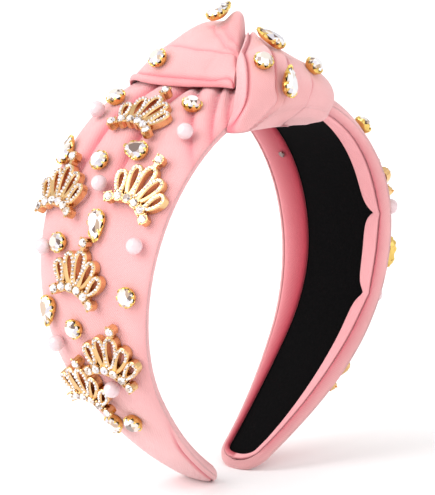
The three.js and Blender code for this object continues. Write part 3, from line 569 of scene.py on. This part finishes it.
def binding_outline():
    """Outer and inner edge of the strip round the inner face, as places along and across the band."""
    straight = HALF_LENGTH - END_ROUND
    reach = END_ROUND - LINING_INSET + BINDING_OUT
    rows = []
    for side in (-1, 1):
        for along in np.linspace(-straight, straight, BINDING_MESH["along"]) * -side:
            width = tapered_half_width(along) - LINING_INSET + BINDING_OUT
            if side < 0:
                width = width + seam_pull(along)
            rows.append((along, side * width, along, side * shown_lining(along, side)))
        for turn in np.linspace(0, math.pi, BINDING_MESH["end"])[1:-1]:
            cos = math.cos(turn)
            across = math.copysign(abs(cos) ** (2 / END_POWER), cos) * side
            out = math.sin(turn) ** (2 / END_POWER)
            outer = (straight + reach * out) * -side
            inner = (straight + (reach - BINDING_END) * out) * -side
            width = tapered_half_width(outer) - LINING_INSET + BINDING_OUT
            rows.append((outer, width * across, inner, shown_lining(inner, across) * across))
    return np.array(rows)


def binding(material):
    outer_along, outer_across, inner_along, inner_across = binding_outline().T[:, :, None]
    share = np.linspace(0, 1, BINDING_MESH["face"])
    swell = (1 - np.abs(2 * share - 1) ** BINDING_SWELL["flat"]) ** BINDING_SWELL["round"]
    face = BINDING_BACK - (BINDING_BACK - BINDING_FACE) * swell
    back = np.full(BINDING_MESH["back"], BINDING_BACK)
    shares = np.concatenate([np.linspace(0, 1, len(back)), share[::-1][1:-1]])
    depth = np.concatenate([back, face[::-1][1:-1]])
    along = lerp(outer_along, inner_along, shares)
    across = lerp(outer_across, inner_across, shares)
    rings = band_point(along, across, depth)
    middle = rings.mean(axis=1)
    steps = np.linalg.norm(np.diff(middle, axis=0), axis=1)
    run = np.concatenate([[0], np.cumsum(steps)])
    # Painted shade: the far strip deepens from its outer edge to the lining, and the near strip darkens in
    # its seam line
    deep = np.where(across > 0, shares**STRIP_SHADE_POWER, 0)
    deep = np.maximum(deep, np.where(across < 0, np.exp(-((shares / STRIP_SEAM_SHADE) ** 2)), 0))
    piece = add_loft("binding_strip", rings, run, material, looped=True, crease=deep)
    return place_piece(piece, "binding")


# Knot

def wrap_row(wrap, column, down):
    rows = WRAP_ROWS[wrap]
    return smooth_through(rows["down"], rows[column], down)


def fold_height(wrap, down, share, width):
    """Height that the folds add, and how deep in a crease each place lies, from 0 to 1, which also sets the
    painted shade there.
    """
    height = 0
    crease_shade = 0
    for fold in FOLDS[wrap]:
        first = fold["down"][0]
        last = fold["down"][-1]
        fade = smoothstep(down, first - FOLD_END, first) * (1 - smoothstep(down, last, last + FOLD_END))
        line = smooth_through(fold["down"], fold["share"], np.clip(down, first, last))
        away = (share - line) * width * fold["raised"]
        ahead = np.maximum(away, 0)
        round_edge = np.sqrt(1 - (1 - np.minimum(ahead / FOLD_ROUND, 1)) ** 2)
        raised = fold["height"] * round_edge * np.exp(-ahead / FOLD_FADE)
        crease = fade * min(fold["height"] / FULL_FOLD, 1) * np.exp(-((away / CREASE_WIDTH) ** 2))
        dip = np.where(away < 0, crease, crease * (1 - round_edge))
        height = height + fade * raised - CREASE_DEPTH * dip
        crease_shade = np.maximum(crease_shade, crease)
    return height, crease_shade


def wrap_height(wrap, down, share):
    edge = wrap_row(wrap, "edge", down)
    width = wrap_row(wrap, "hem", down) - edge
    rounding = np.sqrt(np.maximum(1 - np.abs(2 * share - 1) ** WRAP_EDGE_POWER, 0))
    height = wrap_row(wrap, "height", down) * (1 - WRAPS[wrap]["taper"] * share**WRAP_TAPER_POWER)
    height = height + fold_height(wrap, down, share, width)[0]
    if wrap == "far":
        along = (edge + width * share - NUB["along"]) / NUB["length"]
        away = (down - NUB["down"]) / NUB["width"]
        height = height + NUB["height"] * np.exp(-((along**2 + away**2) ** NUB["power"]))
    return WRAP_SKIN + np.maximum(height, 0) * rounding


def wrap_point(wrap, down, share, height):
    corner = WRAPS[wrap]["corner"]
    flat = WRAPS[wrap]["side"] - corner
    along = lerp(wrap_row(wrap, "edge", down) + GAP, wrap_row(wrap, "hem", down), share)
    turn = np.clip((down - flat) / corner, 0, math.pi / 2)
    drop = np.maximum(down - flat - corner * math.pi / 2, 0)
    across = np.minimum(down, flat) + (corner + height) * np.sin(turn)
    depth = WRAP_DEPTH - corner + (corner + height) * np.cos(turn) - drop
    points = band_point(along, -across, depth)
    return points * (-1, -1, 1) if wrap == "far" else points


def knot_wrap(wrap, material):
    rows = WRAP_ROWS[wrap]["down"]
    down = np.linspace(rows[0], rows[-1], WRAP_MESH["down"])[:, None]
    share = (1 - np.cos(np.linspace(0, math.pi, WRAP_MESH["top"])))[None, :] / 2
    top = wrap_point(wrap, down, share, wrap_height(wrap, down, share))
    under = wrap_point(wrap, down, np.linspace(1, 0, WRAP_MESH["under"])[None, :], 0.0)
    rings = np.concatenate([top, under], axis=1)
    width = wrap_row(wrap, "hem", down) - wrap_row(wrap, "edge", down)
    # Painted shade: deeper pink in the fold creases, along the edges and over the whole underside of the wrap
    hem_shade = HEM_CREASE * np.abs(2 * share - 1) ** HEM_CREASE_POWER
    crease = np.maximum(fold_height(wrap, down, share, width)[1], hem_shade)
    crease = np.concatenate([crease, np.ones(under.shape[:2])], axis=1)
    piece = add_loft(f"wrap_{wrap}", rings, down, material, crease=crease)
    return place_piece(piece, f"knot_{wrap}")


# Set stones, in their own frame: x right, y up, z away from the cloth, foot at z = 0

class Shape:
    """Points and faces gathered from simple forms."""

    def __init__(self):
        self.points = []
        self.faces = []
        self.tones = []

    def add(self, points, faces):
        """Each form gets a tone of its own, from 0 to 1."""
        start = len(self.points)
        self.tones.extend([start * GOLDEN_SHARE % 1] * len(points))
        self.points.extend(tuple(point) for point in points)
        self.faces.extend(tuple(start + corner for corner in face) for face in faces)


def round_outline(radius, sides, start=0.0):
    angle = start - 2 * math.pi * np.arange(sides) / sides
    return np.stack([radius * np.cos(angle), radius * np.sin(angle)], axis=-1)


def crystal_outline(sides):
    return round_outline(CRYSTAL["radius"], sides)


def drop_outline(sides):
    angle = math.pi / 2 - 2 * math.pi * np.arange(sides) / sides
    sharpen = np.maximum(np.sin(angle), 0) ** DROP["sharpness"]
    x = DROP["radius"] * np.cos(angle)
    y = lerp(DROP["radius"] * np.sin(angle), DROP["point"], sharpen)
    return np.stack([x, y], axis=-1)


def lifted(outline, scale, height):
    return np.column_stack([outline * scale, np.broadcast_to(height, len(outline))])


def cut_stone(shape, outline, sizes, foot=STONE_FOOT["scale"]):
    """Stone with a table, star and kite facets, a girdle and a plain underside."""
    girdle = sizes["girdle"]
    height = sizes["height"]
    sides = len(outline)
    half = sides // 2
    middle = lerp(girdle, height, STONE_MIDDLE["rise"])
    rings = [
        lifted(outline[0::2], sizes["table"], height),
        lifted(outline[1::2], STONE_MIDDLE["scale"], middle),
        lifted(outline, 1.0, girdle),
        lifted(outline, foot, STONE_FOOT["rise"] * girdle),
    ]
    first_girdle = 2 * half
    first_foot = first_girdle + sides
    faces = [tuple(range(half))[::-1]]
    for i in range(half):
        ahead = (i + 1) % half
        star = half + i
        before = half + (i - 1) % half
        even = first_girdle + 2 * i
        odd = first_girdle + 2 * i + 1
        next_even = first_girdle + (2 * i + 2) % sides
        faces.append((i, ahead, star))
        faces.append((i, star, even, before))
        faces.append((star, odd, even))
        faces.append((star, next_even, odd))
    for i in range(sides):
        ahead = (i + 1) % sides
        faces.append((first_girdle + i, first_girdle + ahead, first_foot + ahead, first_foot + i))
    faces.append(tuple(range(first_foot, first_foot + sides)))
    shape.add(np.concatenate(rings), faces)


def ring_wall(shape, rings, place=(0, 0)):
    """Closed body through rings of points, from its foot on, moved to a place."""
    shape.add(np.concatenate(rings) + (*place, 0), loft_faces(len(rings), len(rings[0])))


def claw_cup(shape, outline, girdle, prongs):
    """Fluted cup with notches in its rim and a bent claw between them."""
    angle = 2 * math.pi * np.arange(len(outline)) / len(outline)
    wave = 0.5 + 0.5 * np.cos(prongs * angle)
    flute = (1 + CUP["flute"] * wave)[:, None]
    rim = girdle * (1 - CUP["notch"] * (1 - wave) ** 2)
    rings = [lifted(outline, CUP["foot"], 0.0)]
    for way, height in CUP_WALL:
        rings.append(lifted(outline * flute, lerp(CUP["foot"], CUP["rim"], way), height * girdle))
    rings.append(lifted(outline * flute, CUP["rim"], rim))
    rings.append(lifted(outline, CUP["inside"], rim + CUP_INSIDE["lip"]))
    rings.append(lifted(outline, CUP["inside"] * CUP_INSIDE["scale"], CUP_INSIDE["height"] * girdle))
    ring_wall(shape, rings)
    step = len(outline) / prongs
    for i in range(prongs):
        claw(shape, outline[round(i * step) % len(outline)], girdle)


def claw(shape, place, girdle):
    """Short bar up the side of a stone, bent in over its edge."""
    out = place / np.linalg.norm(place)
    side = np.array([-out[1], out[0]]) * PRONG["width"] / 2
    thick = out * PRONG["thick"]
    bend = place * lerp(PRONG["over"], CUP["rim"], PRONG_BEND["way"])
    path = [
        (place * CUP["rim"], PRONG["from"] * girdle, 1.0),
        (place * CUP["rim"], girdle, 1.0),
        (bend, girdle + PRONG_BEND["rise"] * PRONG["rise"], PRONG_BEND["scale"]),
        (place * PRONG["over"], girdle + PRONG["rise"], PRONG_TIP),
    ]
    rings = []
    for centre, height, scale in path:
        left = centre + side * scale
        right = centre - side * scale
        corners = np.array([left, right, right - thick, left - thick])
        rings.append(lifted(corners, 1.0, height))
    shape.add(np.concatenate(rings), turned_faces(len(rings), len(rings[0])))


def seat_of(node, upright=False):
    """Middle of a trim node's foot, with its right, up and outward directions, from its mesh."""
    mesh = node.data
    points = np.array([vertex.co for vertex in mesh.vertices])
    middle = points.mean(axis=0)
    areas = {}
    for face in mesh.polygons:
        key = tuple(round(value, 2) for value in face.normal)
        areas[key] = areas.get(key, 0) + face.area
    outward = np.array(max(areas, key=areas.get))
    outward = outward / np.linalg.norm(outward)
    from_hoop = middle - (0, middle[1], ARCH_HEIGHT * MM)
    if outward @ from_hoop < 0:
        outward = -outward
    flat = points - middle
    flat = flat - np.outer(flat @ outward, outward)
    pull = (flat * (flat**2).sum(axis=1)[:, None]).sum(axis=0)  # lies along the outline's mirror line
    up = pull / np.linalg.norm(pull)
    if upright and up[2] < 0:
        up = -up
    right = np.cross(up, outward)
    foot = middle + outward * ((points - middle) @ outward).min()
    for axis in (right, up):
        reach = (points - foot) @ axis
        foot = foot + axis * (reach.min() + reach.max()) / 2
    return foot / MM, np.column_stack([right, up, outward])


def add_trim(name, shape, seat, material, node=None, shift=0.0, smooth=False):
    """Shape set down on its seat, moved along its own up direction by a shift."""
    origin, axes = seat
    local = np.array(shape.points)
    local[:, 1] += shift
    layers = {"tone": np.column_stack([shape.tones, shape.tones])}
    piece = add_mesh(name, origin + local @ axes.T, shape.faces, material, layers, smooth)
    place_piece(piece, node)


def set_stone(node, sizes, outline, prongs, materials, shift=0.0):
    """Cut stone in its claw cup, both from one function for the outline."""
    seat = seat_of(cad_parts[node])
    stone = Shape()
    cut_stone(stone, outline(STONE_SIDES), sizes)
    cup = Shape()
    claw_cup(cup, outline(CUP_SIDES), sizes["girdle"], prongs)
    add_trim(f"{node}_stone", stone, seat, materials["crystal"], node, shift)
    add_trim(f"{node}_cup", cup, seat, materials["cup"], shift=shift)


def set_crystal(node, materials):
    set_stone(node, CRYSTAL, crystal_outline, ROUND_PRONGS, materials)


def set_drop(node, materials):
    middle = (DROP["point"] - DROP["radius"]) / 2
    set_stone(node, DROP, drop_outline, DROP_PRONGS, materials, -middle)


def set_pearl(node, materials):
    low, high = (np.array(corner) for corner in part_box(node))
    centre = (low + high) / 2 / MM
    level = np.linspace(0, math.pi, PEARL_LEVELS)[1:-1, None]
    turn = 2 * math.pi * np.arange(PEARL_TURNS) / PEARL_TURNS
    sides = (np.sin(level) * np.cos(turn), -np.sin(level) * np.sin(turn), -np.cos(level))
    ball = np.stack(np.broadcast_arrays(*sides), axis=-1)
    points = centre + PEARL_RADIUS * ball.reshape(-1, 3)
    faces = turned_faces(len(level), PEARL_TURNS)
    place_piece(add_mesh(f"{node}_bead", points, faces, materials["pearl"]), node)


# Crowns

def base_point(lean):
    radius = CROWN_BASE["radius"]
    return np.array([radius * math.sin(lean), radius * math.cos(lean) - radius])


def loop_line(loop):
    """Middle line of a crown's loop: narrow at its foot, round at its top."""
    foot = np.array(loop["foot"])
    top = np.array(loop["top"])
    up = (top - foot) / np.linalg.norm(top - foot)
    side = np.array([up[1], -up[0]])
    turn = 2 * math.pi * np.arange(LOOP_STEPS)[:, None] / LOOP_STEPS
    rise = (1 - np.cos(turn)) / 2
    round_side = np.sign(np.sin(turn)) * np.abs(np.sin(turn)) ** LOOP_POWER
    spread = loop["half"] * round_side * lerp(LOOP_SPREAD["foot"], LOOP_SPREAD["top"], rise)
    return foot + (top - foot) * rise + side * spread


def loop_band(shape, line):
    """Flat-sided gold band with softened upper edges along a closed line."""
    ahead = np.roll(line, -1, axis=0) - np.roll(line, 1, axis=0)
    ahead = ahead / np.linalg.norm(ahead, axis=1)[:, None]
    side = np.stack([ahead[:, 1], -ahead[:, 0]], axis=-1)
    rows = [lifted(line + side * CROWN_RIM * out, 1.0, CROWN_THICK * up) for out, up in LOOP_SECTION]
    points = np.stack(rows, axis=1)
    shape.add(points.reshape(-1, 3), turned_faces(len(line), len(rows), looped=True))


def small_stone(shape, place, sizes, level):
    outline = round_outline(sizes["radius"], sizes["sides"])
    rings = [
        lifted(outline, SMALL_FOOT["scale"], level - SMALL_FOOT["sink"]),
        lifted(outline, 1.0, level),
        lifted(outline, sizes["table"], level + sizes["height"]),
    ]
    ring_wall(shape, rings, place)


def stones_along(shape, line, lowest):
    """Row of small stones, evenly spaced along a closed line, above a share of its height."""
    level = lerp(line[:, 1].min(), line[:, 1].max(), lowest)
    closed = np.concatenate([line, line[:1]])
    run = np.concatenate([[0], np.cumsum(np.linalg.norm(np.diff(closed, axis=0), axis=1))])
    count = round(run[-1] / PAVE["step"])
    for place in np.arange(count) * run[-1] / count:
        point = (np.interp(place, run, closed[:, 0]), np.interp(place, run, closed[:, 1]))
        if point[1] >= level:
            small_stone(shape, point, PAVE, CROWN_THICK)


def beaded_cup(shape, place, turn):
    """Cup with four beads on its rim, for one stone of the base row or the tip."""
    sides = BASE_CUP["sides"]
    outline = round_outline(BASE_CUP["half"] * BASE_CUP["corner"], sides, math.pi / sides - turn)
    rings = [
        lifted(outline, BASE_CUP["foot"], 0.0),
        lifted(outline, 1.0, BASE_CUP["foot_height"]),
        lifted(outline, 1.0, BASE_CUP["height"]),
    ]
    ring_wall(shape, rings, place)
    for bead in round_outline(BASE_CUP["half"] * CUP_BEAD["out"], 4, math.pi / 4 - turn):
        small_stone(shape, place + bead, CUP_BEAD, BASE_CUP["height"])


def stem(shape):
    """Post between the middle loop and the stone at the tip."""
    half = CROWN_STEM["half"]
    low = CROWN_STEM["from"]
    high = CROWN_STEM["to"]
    corners = np.array([(-half, low), (-half, high), (half, high), (half, low)])
    ring_wall(shape, [lifted(corners, 1.0, 0.0), lifted(corners, 1.0, CROWN_THICK)])


def crown_shapes():
    gold = Shape()
    stones = Shape()
    for loop in CROWN_LOOPS:
        line = loop_line(loop)
        loop_band(gold, line)
        stones_along(stones, line, loop["stones_from"])
    stem(gold)
    reach = math.radians(CROWN_BASE["reach"])
    places = [(base_point(lean), lean) for lean in np.linspace(-reach, reach, CROWN_BASE["stones"])]
    places.append((np.array([0.0, CROWN_TIP]), 0.0))
    stone = Shape()
    outline = round_outline(BASE_STONE["radius"], STONE_SIDES)
    cut_stone(stone, outline, BASE_STONE, BASE_STONE["foot"])
    lift = BASE_CUP["height"] - BASE_STONE["sink"]
    for place, turn in places:
        beaded_cup(gold, place, turn)
        stones.add(np.array(stone.points) + (*place, lift), stone.faces)
    return gold, stones


def set_crown(node, materials):
    gold, stones = crown_parts
    seat = seat_of(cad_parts[node], upright=True)
    add_trim(f"{node}_gold", gold, seat, materials["gold"], node, -CROWN_MIDDLE)
    add_trim(f"{node}_stones", stones, seat, materials["crystal"], shift=-CROWN_MIDDLE)


def set_stud(material):
    seat = seat_of(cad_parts["stud"])
    shape = Shape()
    outline = round_outline(STUD_RADIUS, STUD_SIDES)
    ring_wall(shape, [lifted(outline, scale, height) for scale, height in STUD_PROFILE])
    add_trim("stud_rivet", shape, seat, material, "stud", smooth=True)


# Materials

def new_material(name, **values):
    material = bpy.data.materials.new(name)
    material.use_nodes = True
    shader = material.node_tree.nodes["Principled BSDF"]
    for socket, value in values.items():
        shader.inputs[socket.replace("_", " ")].default_value = value
    return material, material.node_tree, shader


def math_node(tree, operation, first, second=None):
    node = tree.nodes.new("ShaderNodeMath")
    node.operation = operation
    for socket, value in zip(node.inputs, (first, second)):
        if isinstance(value, (int, float)):
            socket.default_value = value
        elif value is not None:
            tree.links.new(value, socket)
    return node.outputs[0]


def noise(tree, scale, detail=2.0):
    """Uneven tone in the object's own space, by its number of spots in a metre."""
    place = tree.nodes.new("ShaderNodeTexCoord").outputs["Object"]
    node = tree.nodes.new("ShaderNodeTexNoise")
    node.inputs["Scale"].default_value = scale
    node.inputs["Detail"].default_value = detail
    tree.links.new(place, node.inputs["Vector"])
    return node.outputs["Fac"]


def layer_values(tree, layer):
    """The two values that a layer of the mesh holds."""
    places = tree.nodes.new("ShaderNodeUVMap")
    places.uv_map = layer
    parts = tree.nodes.new("ShaderNodeSeparateXYZ")
    tree.links.new(places.outputs["UV"], parts.inputs["Vector"])
    return parts.outputs["X"], parts.outputs["Y"]


def colour_between(tree, shader, factor, dark, light):
    ramp = tree.nodes.new("ShaderNodeValToRGB")
    ramp.color_ramp.elements[0].color = dark
    ramp.color_ramp.elements[1].color = light
    tree.links.new(factor, ramp.inputs["Fac"])
    tree.links.new(ramp.outputs["Color"], shader.inputs["Base Color"])
    return ramp


def add_bump(tree, shader, height, distance, strength):
    bump = tree.nodes.new("ShaderNodeBump")
    bump.inputs["Distance"].default_value = distance
    bump.inputs["Strength"].default_value = strength
    tree.links.new(height, bump.inputs["Height"])
    tree.links.new(bump.outputs["Normal"], shader.inputs["Normal"])


def weave_height(tree):
    """Staggered dots of a fine knit, from the cloth's own places in millimetres."""
    pitch = 2 * math.pi / KNIT_STEP
    along, around = layer_values(tree, "cloth")
    along = math_node(tree, "SINE", math_node(tree, "MULTIPLY", along, pitch))
    around = math_node(tree, "SINE", math_node(tree, "MULTIPLY", around, pitch))
    return math_node(tree, "MULTIPLY", along, around)


def paint_crease_shade(tree, shader, colour, deep):
    """Turns the cloth's colour towards a deeper one as painted shade in its folds, seams and recesses."""
    mix = tree.nodes.new("ShaderNodeMix")
    mix.data_type = "RGBA"
    tree.links.new(layer_values(tree, "crease")[0], mix.inputs["Factor"])
    tree.links.new(colour, mix.inputs["A"])
    mix.inputs["B"].default_value = deep
    tree.links.new(mix.outputs["Result"], shader.inputs["Base Color"])


def knit(name, dark, light, deep, sheen):
    looks = {"Roughness": 0.82, "Sheen_Weight": sheen, "Sheen_Roughness": 0.45, "Sheen_Tint": PINK_SHEEN}
    material, tree, shader = new_material(name, Specular_IOR_Level=0.25, **looks)
    weave = weave_height(tree)
    patches = noise(tree, scale=45.0, detail=3.0)
    mixed = math_node(tree, "ADD", patches, math_node(tree, "MULTIPLY", weave, KNIT_TONE["weave"]))
    ramp = colour_between(tree, shader, mixed, dark, light)
    ramp.color_ramp.elements[0].position = KNIT_TONE["dark_to"]
    ramp.color_ramp.elements[1].position = KNIT_TONE["light_from"]
    paint_crease_shade(tree, shader, ramp.outputs["Color"], deep)
    add_bump(tree, shader, weave, distance=0.00009, strength=0.8)
    return material


def velvet():
    looks = {"Roughness": 1.0, "Sheen_Weight": 0.04, "Sheen_Roughness": 0.6, "Sheen_Tint": BLACK_SHEEN}
    material, tree, shader = new_material("black_velvet", Specular_IOR_Level=0.03, **looks)
    pile = noise(tree, scale=900.0)
    colour_between(tree, shader, pile, **BLACK)
    add_bump(tree, shader, pile, distance=0.0002, strength=0.5)
    return material


def gold(name, tones, roughness):
    material, tree, shader = new_material(name, Metallic=1.0, Roughness=roughness)
    colour_between(tree, shader, noise(tree, scale=260.0, detail=3.0), **tones)
    add_bump(tree, shader, noise(tree, scale=900.0), distance=0.00006, strength=0.3)
    return material


def crystal_glass():
    """Foil-backed stone: each facet gets a painted reflection tone of its own, from its stone and the way it
    faces.
    """
    looks = {"Metallic": 0.35, "Roughness": 0.08, "Coat_Weight": 1.0, "Coat_Roughness": 0.02}
    material, tree, shader = new_material("crystal", **looks)
    facing = tree.nodes.new("ShaderNodeNewGeometry").outputs["True Normal"]
    snap = tree.nodes.new("ShaderNodeVectorMath")
    snap.operation = "SNAP"
    snap.inputs[1].default_value = FACET_SNAP
    tree.links.new(facing, snap.inputs[0])
    chance = tree.nodes.new("ShaderNodeTexWhiteNoise")
    chance.noise_dimensions = "4D"
    tree.links.new(snap.outputs["Vector"], chance.inputs["Vector"])
    tree.links.new(layer_values(tree, "tone")[0], chance.inputs["W"])
    ramp = colour_between(tree, shader, chance.outputs["Value"], **FACET_REFLECTION)
    ramp.color_ramp.interpolation = "CONSTANT"
    for position, colour in FACET_REFLECTION_STEPS:
        ramp.color_ramp.elements.new(position).color = colour
    return material


def pearl_lustre():
    looks = {"Roughness": 0.2, "Coat_Weight": 1.0, "Coat_Roughness": 0.05}
    glow = {"Subsurface_Weight": 0.15, "Subsurface_Radius": PEARL_GLOW}
    material, tree, shader = new_material("pearl", **looks, **glow)
    colour_between(tree, shader, noise(tree, scale=120.0), **PEARL_PINK)
    return material


def rivet_metal():
    material, tree, shader = new_material("rivet", Metallic=1.0, Roughness=0.28)
    colour_between(tree, shader, noise(tree, scale=700.0), **RIVET)
    return material


# Studio

def floor():
    mesh = bpy.data.meshes.new("floor")
    half = FLOOR_HALF
    corners = [(-half, -half, 0), (half, -half, 0), (half, half, 0), (-half, half, 0)]
    mesh.from_pydata(corners, [], [(0, 1, 2, 3)])
    mesh.materials.append(new_material("floor", Roughness=0.9, Base_Color=FLOOR_TONE)[0])
    add_object("floor", mesh)


def sun_light(name, towards, strength, angle):
    """Wide soft light from a far place, given the way towards it."""
    data = bpy.data.lights.new(name, "SUN")
    data.energy = strength
    data.angle = math.radians(angle)
    light = add_object(name, data)
    light.rotation_euler = (-Vector(towards)).to_track_quat("-Z", "Y").to_euler()


def studio():
    world = bpy.data.worlds.new("studio")
    world.use_nodes = True
    backdrop = world.node_tree.nodes["Background"]
    backdrop.inputs["Color"].default_value = (1, 1, 1, 1)
    backdrop.inputs["Strength"].default_value = WORLD_STRENGTH
    scene.world = world
    for light in LIGHTS:
        sun_light(**light)
    scene.view_settings.view_transform = "Standard"


def camera():
    azimuth = math.radians(CAMERA["azimuth"])
    elevation = math.radians(CAMERA["elevation"])
    level = math.cos(elevation)
    forward = Vector((math.sin(azimuth) * level, math.cos(azimuth) * level, -math.sin(elevation)))
    right = Vector((math.cos(azimuth), -math.sin(azimuth), 0))
    up = right.cross(forward)
    target = Vector(CAMERA_TARGET)
    place = target - forward * CAMERA["distance"]
    aim = target + right * CAMERA_OFFSET["right"] + up * CAMERA_OFFSET["up"]
    data = bpy.data.cameras.new("view")
    data.sensor_width = SENSOR
    data.lens = CAMERA["focal"] / IMAGE_HEIGHT * SENSOR
    eye = add_object("view", data)
    eye.location = place * MM
    eye.rotation_euler = (aim - place).to_track_quat("-Z", "Y").to_euler()
    scene.camera = eye


# The whole headband

camera()
studio()
floor()

pink = knit("pink_cloth", **PINK)
trim_materials = {
    "crystal": crystal_glass(),
    "cup": gold("cup_gold", CUP_GOLD, roughness=0.2),
    "gold": gold("crown_gold", CROWN_GOLD, roughness=0.22),
    "pearl": pearl_lustre(),
}

cover = band_cover(pink)
lining(velvet())
binding(knit("pink_binding", **STRIP_PINK_LIT_AND_SHADED))
knot_wrap("far", pink)
knot_wrap("near", pink)
set_stud(rivet_metal())

crown_parts = crown_shapes()
setters = {"crystal": set_crystal, "drop": set_drop, "pearl": set_pearl, "crown": set_crown}
for name in sorted(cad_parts):
    for kind, setter in setters.items():
        if kind in name:
            setter(name, trim_materials)
